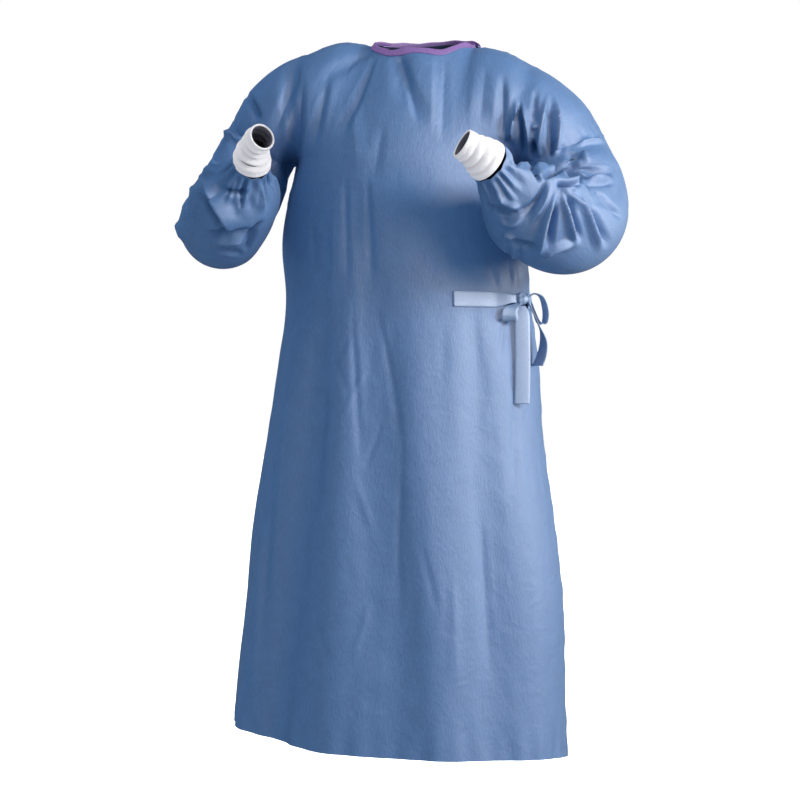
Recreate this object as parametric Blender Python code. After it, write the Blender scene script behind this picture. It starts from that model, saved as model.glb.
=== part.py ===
"""A wrap-around surgical gown, worn, with no wearer inside.

Metres, +Z up. The wearer faces -Y, so +X is the wearer's left. The origin is the middle of the neck
opening, where the shoulders carry the gown. Every panel is a thin wall through rows of points. The
rows are worked out first as one shared outer surface, so that neighbours meet at their seams.
"""

import math
from collections import namedtuple

import bmesh
import bpy
import numpy as np

# Cloth
CLOTH = 0.0018
KNIT = 0.0022
SEAM_GAP = 0.0003
ARMPIT_REACH = 0.05  # round the armpit the walls turn their own way, within about this distance
LAP = 0.0042  # how far the outer back panel stands off the inner one

# Grid: columns round the front, columns round the whole back, rows below and above the armpit
FRONT_COLUMNS = 28
BACK_COLUMNS = 28
SKIRT_ROWS = 15
YOKE_ROWS = 10
SHOULDER_COLUMNS = 8
INNER_BACK_END = 18  # the column where the inner back panel stops
OUTER_BACK_END = 8  # and where the outer one does, counted from the same side

# The hem, lifted at the wearer's right: degrees round the body from the right side seam, and height
HemPoint = namedtuple("HemPoint", "degrees z")
HEM = (
    HemPoint(0, -1.128),
    HemPoint(20, -1.133),
    HemPoint(35, -1.140),
    HemPoint(50, -1.151),
    HemPoint(70, -1.162),
    HemPoint(90, -1.167),
    HemPoint(120, -1.172),
    HemPoint(150, -1.177),
    HemPoint(180, -1.186),
    HemPoint(225, -1.182),
    HemPoint(270, -1.172),
    HemPoint(315, -1.152),
    HemPoint(360, -1.128),
)

# Sections of the body: height, middle across, half width, depth in front and behind
Section = namedtuple("Section", "z middle half front back")
SECTIONS = (
    Section(-1.20, -0.047, 0.290, 0.192, 0.175),
    Section(-1.07, -0.043, 0.283, 0.190, 0.170),
    Section(-0.93, -0.036, 0.273, 0.186, 0.163),
    Section(-0.80, -0.037, 0.259, 0.180, 0.155),
    Section(-0.66, -0.035, 0.237, 0.172, 0.142),
    Section(-0.53, -0.029, 0.222, 0.164, 0.128),
    Section(-0.43, -0.029, 0.208, 0.156, 0.118),
    Section(-0.33, -0.036, 0.208, 0.155, 0.118),
    Section(-0.25, -0.038, 0.196, 0.157, 0.122),
    Section(-0.19, -0.030, 0.193, 0.154, 0.122),
)

# Long soft folds of the body: place round it in degrees from the wearer's right side seam through the
# front, at the hem and at the top, then half width in degrees, height (a trough is negative) at the
# hem and at the top, and the range of z
Fold = namedtuple("Fold", "hem_at top_at width hem_rise top_rise low high")
FOLDS = (
    Fold(30, 40, 9, 0.012, 0.004, -1.20, -0.45),
    Fold(50, 60, 8, -0.011, -0.003, -1.20, -0.40),
    Fold(74, 68, 7, 0.010, 0.006, -1.20, -0.24),
    Fold(88, 76, 6, -0.007, -0.008, -1.05, -0.22),
    Fold(99, 84, 6, -0.011, -0.006, -1.12, -0.30),
    Fold(112, 100, 9, 0.010, 0.003, -1.20, -0.50),
    Fold(131, 128, 7, -0.010, -0.002, -1.20, -0.62),
    Fold(151, 150, 9, 0.009, 0.002, -1.20, -0.60),
    Fold(196, 196, 8, -0.010, -0.003, -1.20, -0.55),
    Fold(215, 214, 9, 0.012, 0.004, -1.20, -0.45),
    Fold(238, 236, 8, -0.011, -0.005, -1.20, -0.36),
    Fold(262, 262, 9, 0.012, 0.005, -1.20, -0.30),
    Fold(284, 286, 7, -0.010, -0.006, -1.20, -0.30),
    Fold(305, 304, 9, 0.011, 0.005, -1.20, -0.42),
    Fold(331, 330, 8, -0.010, -0.003, -1.20, -0.50),
)

# Ends of the long folds fade over this height, but not at the hem
FOLD_FADE = 0.12
HEM_LEVEL = -1.19

# Shoulder line from the neck to the armhole seam: place across and height
ShoulderPoint = namedtuple("ShoulderPoint", "x z")
RIGHT_SHOULDER = (
    ShoulderPoint(-0.089, 0.000),
    ShoulderPoint(-0.128, 0.008),
    ShoulderPoint(-0.163, 0.002),
    ShoulderPoint(-0.198, -0.009),
    ShoulderPoint(-0.232, -0.022),
    ShoulderPoint(-0.267, -0.043),
    ShoulderPoint(-0.302, -0.075),
    ShoulderPoint(-0.327, -0.117),
)
LEFT_SHOULDER = (
    ShoulderPoint(0.089, -0.001),
    ShoulderPoint(0.110, -0.009),
    ShoulderPoint(0.144, -0.019),
    ShoulderPoint(0.177, -0.038),
    ShoulderPoint(0.211, -0.058),
    ShoulderPoint(0.246, -0.086),
    ShoulderPoint(0.271, -0.113),
    ShoulderPoint(0.297, -0.156),
)

# Neckline, where the panels end and the binding begins, from the right round the front
NeckPoint = namedtuple("NeckPoint", "x y z")
NECKLINE = (
    NeckPoint(-0.089, 0.000, 0.000),
    NeckPoint(-0.079, -0.044, -0.020),
    NeckPoint(-0.046, -0.074, -0.036),
    NeckPoint(-0.002, -0.082, -0.033),
    NeckPoint(0.040, -0.074, -0.037),
    NeckPoint(0.072, -0.044, -0.014),
    NeckPoint(0.089, 0.000, -0.001),
    NeckPoint(0.074, 0.038, 0.008),
    NeckPoint(0.043, 0.066, 0.012),
    NeckPoint(-0.002, 0.074, 0.013),
    NeckPoint(-0.046, 0.066, 0.011),
    NeckPoint(-0.078, 0.038, 0.008),
)
BINDING_WIDTH = 0.012
BINDING = 0.0024
BINDING_CLEAR = 0.0007
BINDING_STAND = 0.6  # how upright the binding stands at its foot
BINDING_LEAN = 0.2  # and how far its top leans to the neck

# How round the cloth turns over from the chest to the top edge, at the shoulder and at the neck
SHOULDER_ROUND = 1.0
NECK_ROUND = 0.42
NECK_PART = (0.5, 0.95)  # where along the top edge the turn changes from the one to the other
ARMHOLE_REACH = 0.36  # share of a panel's width that bends toward the armhole

# Folds of the yoke: column share and row share of the ends, half width as a share, height in metres
YokeFold = namedtuple("YokeFold", "u0 v0 u1 v1 width rise")
FRONT_YOKE_FOLDS = (
    YokeFold(0.36, 0.96, 0.24, 0.45, 0.020, -0.006),
    YokeFold(0.46, 0.92, 0.50, 0.50, 0.022, -0.007),
    YokeFold(0.53, 0.90, 0.56, 0.50, 0.030, 0.005),
    YokeFold(0.17, 0.88, 0.12, 0.10, 0.022, -0.008),
    YokeFold(0.84, 0.80, 0.90, 0.10, 0.020, -0.006),
)
BACK_YOKE_FOLDS = (
    YokeFold(0.20, 0.80, 0.30, 0.05, 0.024, -0.006),
    YokeFold(0.80, 0.80, 0.70, 0.05, 0.024, -0.006),
    YokeFold(0.40, 0.85, 0.42, 0.10, 0.026, 0.005),
    YokeFold(0.62, 0.85, 0.60, 0.10, 0.026, 0.005),
)

# An arm: armhole seam at the outline and at the armpit, reach to the front and back, the inner-elbow
# point round which the sleeve bends, the wrist seam, and the open end of the cuff
Arm = namedtuple(
    "Arm", "side outer armpit front back elbow_pivot bend elbow wrist cuff_end cuff_oval forearm sag"
)
LEFT_ARM = Arm(
    side="left",
    outer=(0.297, 0.0, -0.156),
    armpit=(0.163, 0.0, -0.206),
    front=(0.228, -0.086, -0.192),
    back=(0.232, 0.082, -0.155),
    elbow_pivot=(0.217, -0.1025, -0.2311),
    bend=0.084,
    elbow=0.083,
    wrist=(0.1456, -0.2789, -0.2290),
    cuff_end=(0.108, -0.303, -0.203),
    cuff_oval=1.0,
    forearm=0.084,
    sag=0.016,
)
RIGHT_ARM = Arm(
    side="right",
    outer=(-0.327, 0.0, -0.117),
    armpit=(-0.223, 0.0, -0.200),
    front=(-0.280, -0.080, -0.172),
    back=(-0.280, 0.078, -0.145),
    elbow_pivot=(-0.279, -0.1377, -0.2370),
    bend=0.076,
    elbow=0.072,
    wrist=(-0.2234, -0.3034, -0.2266),
    cuff_end=(-0.195, -0.3543, -0.1928),
    cuff_oval=0.78,
    forearm=0.067,
    sag=0.009,
)
ARMPIT_POINT = 0.8  # how pointed the armhole is at the armpit, and over what share of its round
ARMPIT_SPREAD = 0.12
SIDE_CREASE = 0.3  # how pointed the side seam is just below it, over these heights and degrees
SIDE_CREASE_FROM, SIDE_CREASE_TO = -0.36, -0.20
SIDE_CREASE_WIDTH = 18.0
SLEEVE_COLUMNS = 4 * YOKE_ROWS
SLEEVE_ROWS = 16
GATHERED_RADIUS = 0.034
PLEATS = 10
PLEAT_DEPTH = 0.0035
ELBOW_CREASES = 5
ELBOW_CREASE_DEPTH = 0.004
ELBOW_TUCK = 0.013  # how far the cloth draws in at the inside of the elbow

# Where along the arm, from the armhole at 0 to the wrist at 1, each of these comes and goes
FOREARM_FULL = 0.85
GATHER_FROM, GATHER_CURVE = 0.84, 1.2
PLEATS_FROM, PLEATS_FULL = 0.78, 0.96
SAG_FROM, SAG_FULL, SAG_END = 0.35, 0.70, 0.86
BEND_FROM, BEND_FULL, BEND_FADE, BEND_END = 0.20, 0.35, 0.60, 0.75

# Rib-knit cuff
CUFF_ROOT_RADIUS = 0.031
CUFF_END_RADIUS = 0.0255
CUFF_COLUMNS = 24
CUFF_ROWS = 4

# Waist ties: a flat tape, its height on the body, and places round the body in degrees
TIE_WIDTH = 0.0245
TIE = 0.0015
TIE_Z = -0.433
TIE_CLEAR = 0.0006
TAB_START = 118.0
KNOT_AT = 154.0
WRAP_END = 237.0
KNOT_SIZE = (0.024, 0.019, 0.021)
KNOT_STAND = 0.016
TAB_END = 3.6  # degrees short of the knot's middle
WRAP_START = 2.85  # and past it
LIFT_SPAN = (5.0, 15.0)  # degrees from the knot over which a tape comes off the cloth
NARROW_SPAN = (5.0, 14.0)  # and draws together
NARROWED = 0.5
LAP_SPAN = (9.0, 1.5)  # degrees before the back panel's edge over which the tape climbs onto it
LAP_CLEAR = 0.0004

# Each hanging tape: place from the middle of the knot, the way that its width points in plan, and width
Tape = namedtuple("Tape", "x y z facing width")
LONG_TAIL = (
    Tape(0.001, 0.001, -0.0110, 10, 0.0120),
    Tape(0.002, -0.003, -0.0240, 10, 0.0235),
    Tape(0.003, -0.007, -0.0500, 10, 0.0245),
    Tape(0.004, -0.010, -0.0900, 10, 0.0245),
    Tape(0.004, -0.012, -0.1300, 11, 0.0245),
    Tape(0.003, -0.012, -0.1710, 12, 0.0245),
)
SHORT_TAIL = (
    Tape(0.0109, 0.0049, -0.0042, 95, 0.0070),
    Tape(0.0180, 0.016, -0.0220, 95, 0.0180),
    Tape(0.0260, 0.026, -0.0450, 85, 0.0245),
    Tape(0.0310, 0.031, -0.0680, 65, 0.0245),
    Tape(0.0300, 0.031, -0.0900, 60, 0.0245),
    Tape(0.0220, 0.026, -0.1080, 60, 0.0245),
)
FRONT_LOOP = (
    Tape(-0.0007, -0.0066, -0.0079, 10, 0.0070),
    Tape(-0.0130, -0.0220, -0.0150, 10, 0.0220),
    Tape(-0.0160, -0.0260, -0.0270, 10, 0.0240),
    Tape(-0.0165, -0.0200, -0.0355, 10, 0.0240),
    Tape(-0.0150, -0.0130, -0.0290, 10, 0.0235),
    Tape(-0.0120, -0.0125, -0.0210, 10, 0.0150),
    Tape(-0.0060, -0.0075, -0.0150, 10, 0.0070),
)
BACK_LOOP = (
    Tape(0.0121, 0.0038, 0.0028, 85, 0.0080),
    Tape(0.0200, 0.0100, 0.0060, 90, 0.0200),
    Tape(0.0290, 0.0160, -0.0040, 95, 0.0240),
    Tape(0.0355, 0.0220, -0.0220, 95, 0.0240),
    Tape(0.0345, 0.0235, -0.0350, 95, 0.0240),
    Tape(0.0275, 0.0230, -0.0345, 95, 0.0240),
    Tape(0.0265, 0.0190, -0.0200, 95, 0.0230),
    Tape(0.0210, 0.0130, -0.0050, 92, 0.0180),
    Tape(0.0135, 0.0060, -0.0010, 88, 0.0070),
)

# Colour, roughness
CLOTH_LOOK = ((0.080, 0.180, 0.400), 0.75)
KNIT_LOOK = ((0.82, 0.82, 0.84), 0.90)
BINDING_LOOK = ((0.160, 0.070, 0.300), 0.70)
TIE_LOOK = ((0.300, 0.400, 0.580), 0.75)


def clear_scene():
    for item in list(bpy.data.objects):
        bpy.data.objects.remove(item, do_unlink=True)


def material(name, look):
    """One plain finish: base colour and roughness."""
    colour, roughness = look
    made = bpy.data.materials.new(name)
    made.use_nodes = True
    shader = made.node_tree.nodes["Principled BSDF"]
    shader.inputs["Base Color"].default_value = (*colour, 1.0)
    shader.inputs["Roughness"].default_value = roughness
    made.diffuse_color = (*colour, 1.0)
    return made


def smoothstep(value, low=0.0, high=1.0):
    share = min(max((value - low) / (high - low), 0.0), 1.0)
    return share * share * (3.0 - 2.0 * share)


def mix(a, b, share):
    return a + (b - a) * share


def unit(vector):
    return vector / np.linalg.norm(vector)


def spline(points, share):
    """A smooth curve through the points, from share 0 to 1."""
    points = np.asarray(points, float)
    place = min(max(share, 0.0), 1.0) * (len(points) - 1)
    i = min(int(place), len(points) - 2)
    f = place - i
    p0, p1 = points[max(i - 1, 0)], points[i]
    p2, p3 = points[i + 1], points[min(i + 2, len(points) - 1)]
    return p1 + 0.5 * f * (
        p2 - p0 + f * (2 * p0 - 5 * p1 + 4 * p2 - p3 + f * (3 * (p1 - p2) + p3 - p0))
    )


# Body


def section_at(z):
    """Middle, half width, front depth and back depth of the body at a height."""
    heights = [row.z for row in SECTIONS]
    i = int(np.clip(np.searchsorted(heights, z) - 1, 0, len(SECTIONS) - 2))
    share = (i + (z - heights[i]) / (heights[i + 1] - heights[i])) / (len(SECTIONS) - 1)
    return spline([row[1:] for row in SECTIONS], share)


def fold_rise(degrees, z):
    """How far the long folds lift the cloth off the plain section."""
    rise = 0.0
    for fold in FOLDS:
        along = min(max((z - fold.low) / (fold.high - fold.low), 0.0), 1.0)
        top_fade = smoothstep(fold.high - z, 0.0, FOLD_FADE)
        low_fade = 1.0 if fold.low < HEM_LEVEL else smoothstep(z - fold.low, 0.0, FOLD_FADE)
        at = mix(fold.hem_at, fold.top_at, along)
        height = mix(fold.hem_rise, fold.top_rise, along)
        rise += height * top_fade * low_fade * math.exp(-(((degrees - at) / fold.width) ** 2))
    return rise


def body_point(degrees, z):
    """Outer cloth at an angle round the body: 0 and 180 are the side seams, 90 the front."""
    middle, half, front, back = section_at(z)
    angle = math.radians(degrees)
    depth = front if degrees <= 180.0 else back
    from_seam = min(degrees % 180.0, 180.0 - degrees % 180.0)
    crease = SIDE_CREASE * smoothstep(z, SIDE_CREASE_FROM, SIDE_CREASE_TO)
    crease *= math.exp(-((from_seam / SIDE_CREASE_WIDTH) ** 2))
    x = -math.cos(angle) * half * (1.0 - crease * from_seam / 90.0)
    y = -math.sin(angle) * depth
    out = unit(np.array([x / half**2, y / depth**2]))
    rise = fold_rise(degrees, z)
    return np.array([middle + x + out[0] * rise, y + out[1] * rise, z])


def armpit_z(degrees):
    share = 0.5 - 0.5 * math.cos(math.radians(degrees))
    return mix(RIGHT_ARM.armpit[2], LEFT_ARM.armpit[2], share)


def hem_z(degrees):
    return float(np.interp(degrees, [p.degrees for p in HEM], [p.z for p in HEM]))


def skirt_rows(start, columns):
    """Rows of points from the hem up to the armpit, over half a turn from start degrees."""
    angles = [start + 180.0 * i / columns for i in range(columns + 1)]
    return [
        [body_point(a, mix(hem_z(a), armpit_z(a), j / SKIRT_ROWS)) for a in angles]
        for j in range(SKIRT_ROWS + 1)
    ]


def armhole(arm, share):
    """The armhole seam: share 0 is the armpit, 0.25 the front, 0.5 the outline, 0.75 the back."""
    turn = 2.0 * math.pi * share
    outer, armpit = np.array(arm.outer), np.array(arm.armpit)
    front, back = np.array(arm.front), np.array(arm.back)
    across = 0.5 * (outer - armpit)
    middle = 0.5 * (outer + armpit)
    forward = front - middle if share < 0.5 else middle - back
    from_armpit = min(share, 1.0 - share)
    pointed = ARMPIT_POINT * math.exp(-((from_armpit / ARMPIT_SPREAD) ** 2))
    inward = mix(math.cos(turn), 1.0 - 4.0 * from_armpit, pointed)
    return middle - across * inward + forward * math.sin(turn)


def neckline(turn):
    """Where the panels end at the neck: turn 0 is the wearer's right, 90 the front, 180 the left."""
    count = len(NECKLINE)
    place = turn / 360.0 * count
    around = [NECKLINE[(int(place) + k) % count] for k in (-1, 0, 1, 2)]
    return spline(around, (1.0 + place - int(place)) / 3.0)


def shoulder_line(points, share):
    """From the armhole seam, share 0, to the side of the neck, share 1."""
    x, z = spline([(p.x, p.z) for p in reversed(points)], share)
    return np.array([x, 0.0, z])


def top_edge(first, last, turns, columns):
    """Shoulder line, neckline, shoulder line: the upper edge of the front or of the back."""
    steps = [i / SHOULDER_COLUMNS for i in range(SHOULDER_COLUMNS + 1)]
    across = columns - 2 * SHOULDER_COLUMNS
    edge = [shoulder_line(first, share) for share in steps[:-1]]
    edge += [neckline(mix(*turns, i / across)) for i in range(across + 1)]
    edge += [shoulder_line(last, 1.0 - share) for share in steps[1:]]
    return edge


def over(low, high, share, roundness):
    """Between two points: straight, or rising first and then turning over."""
    turn = 0.5 * math.pi * share
    straight = mix(low, high, share)
    rounded = np.array(
        [
            straight[0],
            mix(low[1], high[1], 1.0 - math.cos(turn)),
            mix(low[2], high[2], math.sin(turn)),
        ]
    )
    return mix(straight, rounded, roundness)


# Yoke folds fade out over these shares of the height, and rise by this share of how far they stand out
YOKE_FOLD_FADE = 0.15
TOP_EDGE_FADE = 0.12
YOKE_FOLD_LIFT = 0.5


def yoke_rise(folds, u, v):
    rise = 0.0
    for fold in folds:
        along = min(max((fold.v0 - v) / (fold.v0 - fold.v1), 0.0), 1.0)
        inside = smoothstep(v, fold.v1 - YOKE_FOLD_FADE, fold.v1 + YOKE_FOLD_FADE)
        inside *= smoothstep(1.0 - v, 0.0, TOP_EDGE_FADE)
        at = mix(fold.u0, fold.u1, along)
        rise += fold.rise * inside * math.exp(-(((u - at) / fold.width) ** 2))
    return rise


def yoke_rows(chest, edge, first_side, last_side, folds, outward):
    """Rows from the chest up to the top edge, drawn sideways into the two armholes."""
    columns = len(chest) - 1
    rows = []
    for j in range(1, YOKE_ROWS + 1):
        v = j / YOKE_ROWS
        pull_first = first_side(v) - over(chest[0], edge[0], v, SHOULDER_ROUND)
        pull_last = last_side(v) - over(chest[-1], edge[-1], v, SHOULDER_ROUND)
        row = []
        for i in range(columns + 1):
            u = i / columns
            near_neck = math.sin(math.pi * u) ** 2
            roundness = mix(SHOULDER_ROUND, NECK_ROUND, smoothstep(near_neck, *NECK_PART))
            point = over(chest[i], edge[i], v, roundness)
            point = point + pull_first * (1.0 - smoothstep(u, 0.0, ARMHOLE_REACH))
            point = point + pull_last * (1.0 - smoothstep(1.0 - u, 0.0, ARMHOLE_REACH))
            rise = yoke_rise(folds, u, v)
            row.append(point + np.array([0.0, outward * rise, YOKE_FOLD_LIFT * rise]))
        rows.append(row)
    return rows


def front_surface():
    rows = skirt_rows(0.0, FRONT_COLUMNS)
    edge = top_edge(RIGHT_SHOULDER, LEFT_SHOULDER, (0.0, 180.0), FRONT_COLUMNS)
    rows += yoke_rows(
        rows[-1],
        edge,
        lambda v: armhole(RIGHT_ARM, 0.5 * v),
        lambda v: armhole(LEFT_ARM, 0.5 * v),
        FRONT_YOKE_FOLDS,
        -1.0,
    )
    return np.array(rows)


def back_surface():
    rows = skirt_rows(180.0, BACK_COLUMNS)
    edge = top_edge(LEFT_SHOULDER, RIGHT_SHOULDER, (180.0, 360.0), BACK_COLUMNS)
    rows += yoke_rows(
        rows[-1],
        edge,
        lambda v: armhole(LEFT_ARM, 1.0 - 0.5 * v),
        lambda v: armhole(RIGHT_ARM, 1.0 - 0.5 * v),
        BACK_YOKE_FOLDS,
        1.0,
    )
    return np.array(rows)


# Sleeves


def arm_path(arm):
    """Ring centres from the armhole to the wrist, with the direction along the arm at each."""
    start = 0.5 * (np.array(arm.outer) + np.array(arm.armpit))
    pivot, wrist = np.array(arm.elbow_pivot), np.array(arm.wrist)
    # The upper arm and the forearm both pass the pivot at the bend's radius
    down = unit(pivot - start)
    along = unit(wrist - pivot)
    for _ in range(8):
        off_upper = -unit(along - down * np.dot(along, down))
        off_fore = unit(down - along * np.dot(down, along))
        down = unit(pivot + off_upper * arm.bend - start)
        along = unit(wrist - (pivot + off_fore * arm.bend))
    turn = math.acos(np.dot(down, along))
    lengths = (
        np.linalg.norm(pivot + off_upper * arm.bend - start),
        arm.bend * turn,
        np.linalg.norm(wrist - pivot - off_fore * arm.bend),
    )

    def at(share):
        run = share * sum(lengths)
        if run < lengths[0]:
            return start + down * run, down
        if run < lengths[0] + lengths[1]:
            angle = (run - lengths[0]) / arm.bend
            off = math.cos(angle) * off_upper + math.sin(angle) * unit(
                down - off_upper * np.dot(down, off_upper)
            )
            along_here = math.cos(angle) * down - math.sin(angle) * off_upper
            return pivot + off * arm.bend, unit(along_here)
        rest = run - lengths[0] - lengths[1]
        return pivot + off_fore * arm.bend + along * rest, along

    return at, off_upper, [sum(lengths[: i + 1]) / sum(lengths) for i in range(3)]


def sleeve_surface(arm):
    """Rings of points from the armhole seam to the gathered wrist seam."""
    at, elbow_side, stops = arm_path(arm)
    start, direction = at(0.0)
    across = unit(np.array(arm.outer) - np.array(arm.armpit))
    across = unit(across - direction * np.dot(across, direction))
    forward_sign = np.sign(np.dot(np.cross(direction, across), np.array([0.0, -1.0, 0.0])))
    rows = []
    for j in range(SLEEVE_ROWS + 1):
        s = j / SLEEVE_ROWS
        centre, heading = at(s)
        across = unit(across - heading * np.dot(across, heading))
        forward = np.cross(heading, across) * forward_sign
        radius = mix(arm.elbow, arm.forearm, smoothstep(s, stops[1], FOREARM_FULL))
        gather = smoothstep(s, GATHER_FROM, 1.0) ** GATHER_CURVE
        radius = mix(radius, GATHERED_RADIUS, gather)
        sag = arm.sag * smoothstep(s, SAG_FROM, SAG_FULL) * (1.0 - smoothstep(s, SAG_END, 1.0))
        seam_share = 1.0 - smoothstep(s, 0.0, stops[0])
        bend_share = smoothstep(s, BEND_FROM, BEND_FULL) * (1.0 - smoothstep(s, BEND_FADE, BEND_END))
        row = []
        for i in range(SLEEVE_COLUMNS):
            share = i / SLEEVE_COLUMNS
            turn = 2.0 * math.pi * share
            ray = -across * math.cos(turn) + forward * math.sin(turn)
            inner_side = smoothstep(np.dot(ray, -elbow_side), 0.1, 0.9)
            crease = math.sin(2.0 * math.pi * ELBOW_CREASES * (s - BEND_FROM) / (BEND_END - BEND_FROM))
            ripple = (ELBOW_CREASE_DEPTH * crease - ELBOW_TUCK) * inner_side * bend_share
            pleat = PLEAT_DEPTH * math.cos(PLEATS * turn) * smoothstep(s, PLEATS_FROM, PLEATS_FULL)
            drop = sag * smoothstep(-ray[2], -0.2, 0.9)
            point = centre + ray * (radius + ripple + pleat) - np.array([0.0, 0.0, drop])
            seam = armhole(arm, share) + (centre - start)
            row.append(mix(point, seam, seam_share))
        rows.append(row)
    return np.array(rows)


# Walls


def join_seams(front, back, sleeves):
    """Gives neighbours the very same points along their seams."""
    skirt = slice(0, SKIRT_ROWS + 1)
    back[skirt, 0], back[skirt, -1] = front[skirt, -1], front[skirt, 0]
    last = SHOULDER_COLUMNS + 1
    back[-1, :last] = front[-1, ::-1][:last]
    back[-1, -last:] = front[-1, ::-1][-last:]
    half = SLEEVE_COLUMNS // 2
    for sleeve, front_column, back_column in zip(sleeves, (-1, 0), (0, -1)):
        sleeve[0, 0 : half + 1 : 2] = front[SKIRT_ROWS:, front_column]
        sleeve[0, half::2] = back[:SKIRT_ROWS:-1, back_column]
        # Every second point lies straight between two of the panels' points
        sleeve[0, 1::2] = 0.5 * (sleeve[0, 0::2] + np.roll(sleeve[0, 0::2], -1, axis=0))


def corner_directions(points, faces):
    """At each face's corner: the face's direction, times the corner's angle."""
    result = []
    for k in range(4):
        ahead = points[faces[:, (k + 1) % 4]] - points[faces[:, k]]
        behind = points[faces[:, k - 1]] - points[faces[:, k]]
        across = np.cross(ahead, behind)
        size = np.linalg.norm(across, axis=1)
        angle = np.arctan2(size, np.sum(ahead * behind, axis=1))
        result.append(across / np.maximum(size, 1e-12)[:, None] * angle[:, None])
    return result


def shared_normals(grids):
    """Outward directions at every point, averaged over all the panels that meet there."""
    points = np.concatenate([grid.reshape(-1, 3) for grid, _ in grids])
    _, keys = np.unique(np.round(points, 6), axis=0, return_inverse=True)
    keys = keys.reshape(-1)
    total = np.zeros((keys.max() + 1, 3))
    offset = 0
    for grid, ring in grids:
        rows, columns = grid.shape[:2]
        index = offset + np.arange(rows * columns).reshape(rows, columns)
        after = np.roll(index, -1, axis=1) if ring else index[:, 1:]
        before = index if ring else index[:, :-1]
        faces = np.stack([before[:-1], after[:-1], after[1:], before[1:]], axis=-1).reshape(-1, 4)
        for k, directions in enumerate(corner_directions(points, faces)):
            np.add.at(total, keys[faces[:, k]], directions)
        offset += rows * columns
    total /= np.linalg.norm(total, axis=1)[:, None]
    result = []
    offset = 0
    for grid, _ in grids:
        count = grid.shape[0] * grid.shape[1]
        result.append(total[keys[offset : offset + count]].reshape(grid.shape))
        offset += count
    return result


def own_near_armpits(shared, own, points):
    """Where the sleeve folds back against the body, each wall keeps to its own panels' directions."""
    distance = np.minimum(
        np.linalg.norm(points - np.array(LEFT_ARM.armpit), axis=2),
        np.linalg.norm(points - np.array(RIGHT_ARM.armpit), axis=2),
    )
    near = np.exp(-((distance / ARMPIT_REACH) ** 2))[:, :, None]
    blend = mix(shared, own, near)
    return blend / np.linalg.norm(blend, axis=2)[:, :, None]


def wall(name, outer, inner, finish, ring=False):
    """A closed wall between two grids of points, as one object."""
    rows, columns = outer.shape[:2]
    shape = bmesh.new()
    layers = [
        [[shape.verts.new(point) for point in row] for row in grid] for grid in (outer, inner)
    ]
    last = columns if ring else columns - 1
    for j in range(rows - 1):
        for i in range(last):
            k = (i + 1) % columns
            for layer in layers:
                shape.faces.new((layer[j][i], layer[j][k], layer[j + 1][k], layer[j + 1][i]))
    for j in (0, rows - 1):
        for i in range(last):
            k = (i + 1) % columns
            shape.faces.new((layers[0][j][i], layers[0][j][k], layers[1][j][k], layers[1][j][i]))
    if not ring:
        for i in (0, columns - 1):
            for j in range(rows - 1):
                rim = (layers[0][j][i], layers[0][j + 1][i], layers[1][j + 1][i], layers[1][j][i])
                shape.faces.new(rim)
    bmesh.ops.recalc_face_normals(shape, faces=shape.faces)
    mesh = bpy.data.meshes.new(name)
    shape.to_mesh(mesh)
    shape.free()
    mesh.shade_smooth()
    mesh.set_sharp_from_angle(angle=math.radians(50))
    mesh.materials.append(finish)
    made = bpy.data.objects.new(name, mesh)
    bpy.context.scene.collection.objects.link(made)
    return made


def draw_in(points, normals, amount, first_column=False, last_column=False, first_row=False):
    """How far the named edges of a grid move along the cloth toward the next line of points."""
    move = np.zeros_like(points)
    lines = (
        (first_column, (slice(None), 0), (slice(None), 1)),
        (last_column, (slice(None), -1), (slice(None), -2)),
        (first_row, (0,), (1,)),
    )
    for wanted, edge, beside in lines:
        if wanted:
            step = points[beside] - points[edge]
            step = step - normals[edge] * np.sum(step * normals[edge], axis=1)[:, None]
            move[edge] += amount * step / np.linalg.norm(step, axis=1)[:, None]
    return move


def lower_shoulders(move, points):
    """The shoulder parts of the top row move down by half the seam's gap."""
    columns = points.shape[1]
    for i in list(range(SHOULDER_COLUMNS + 1)) + list(range(columns - SHOULDER_COLUMNS - 1, columns)):
        move[-1, i] += 0.5 * SEAM_GAP * unit(points[-2, i] - points[-1, i])
    return move


def make_front(points, normals, finish):
    move = draw_in(points, normals, 0.5 * SEAM_GAP, first_column=True, last_column=True)
    move = lower_shoulders(move, points)
    outer = points + move
    wall("front_panel", outer, outer - normals * CLOTH, finish)


def make_backs(points, normals, finish):
    """The inner panel comes from the wearer's left, the outer one from the right, over it."""
    move = draw_in(points, normals, 0.5 * SEAM_GAP, first_column=True, last_column=True)
    move = lower_shoulders(move, points)
    outer = points + move
    inner = outer - normals * CLOTH
    stop = INNER_BACK_END + 1
    wall("back_panel_left", outer[:, :stop], inner[:, :stop], finish)
    lift = np.array(
        [
            [lap_lift(points, normals, j, i) for i in range(OUTER_BACK_END, BACK_COLUMNS + 1)]
            for j in range(points.shape[0])
        ]
    )
    start = OUTER_BACK_END
    wall("back_panel_right", outer[:, start:] + lift, inner[:, start:] + lift, finish)


def lap_lift(points, normals, row, column):
    """The outer back panel rises off its side seam and lies over the inner one, clear of its binding."""
    share = smoothstep(BACK_COLUMNS - column, 1.0, BACK_COLUMNS - INNER_BACK_END - 1.0)
    near_neck = smoothstep(row, points.shape[0] - 4, points.shape[0] - 1)
    from_neck = unit(points[row, column] * np.array([1.0, 1.0, 0.0]))
    return LAP * share * (normals[row, column] + near_neck * from_neck)


def make_sleeve(arm, points, normals, finish):
    normals[0, 1::2] = 0.5 * (normals[0, 0::2] + np.roll(normals[0, 0::2], -1, axis=0))
    outer = points + draw_in(points, normals, SEAM_GAP, first_row=True)
    wall("sleeve_" + arm.side, outer, outer - normals * CLOTH, finish, ring=True)


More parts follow.
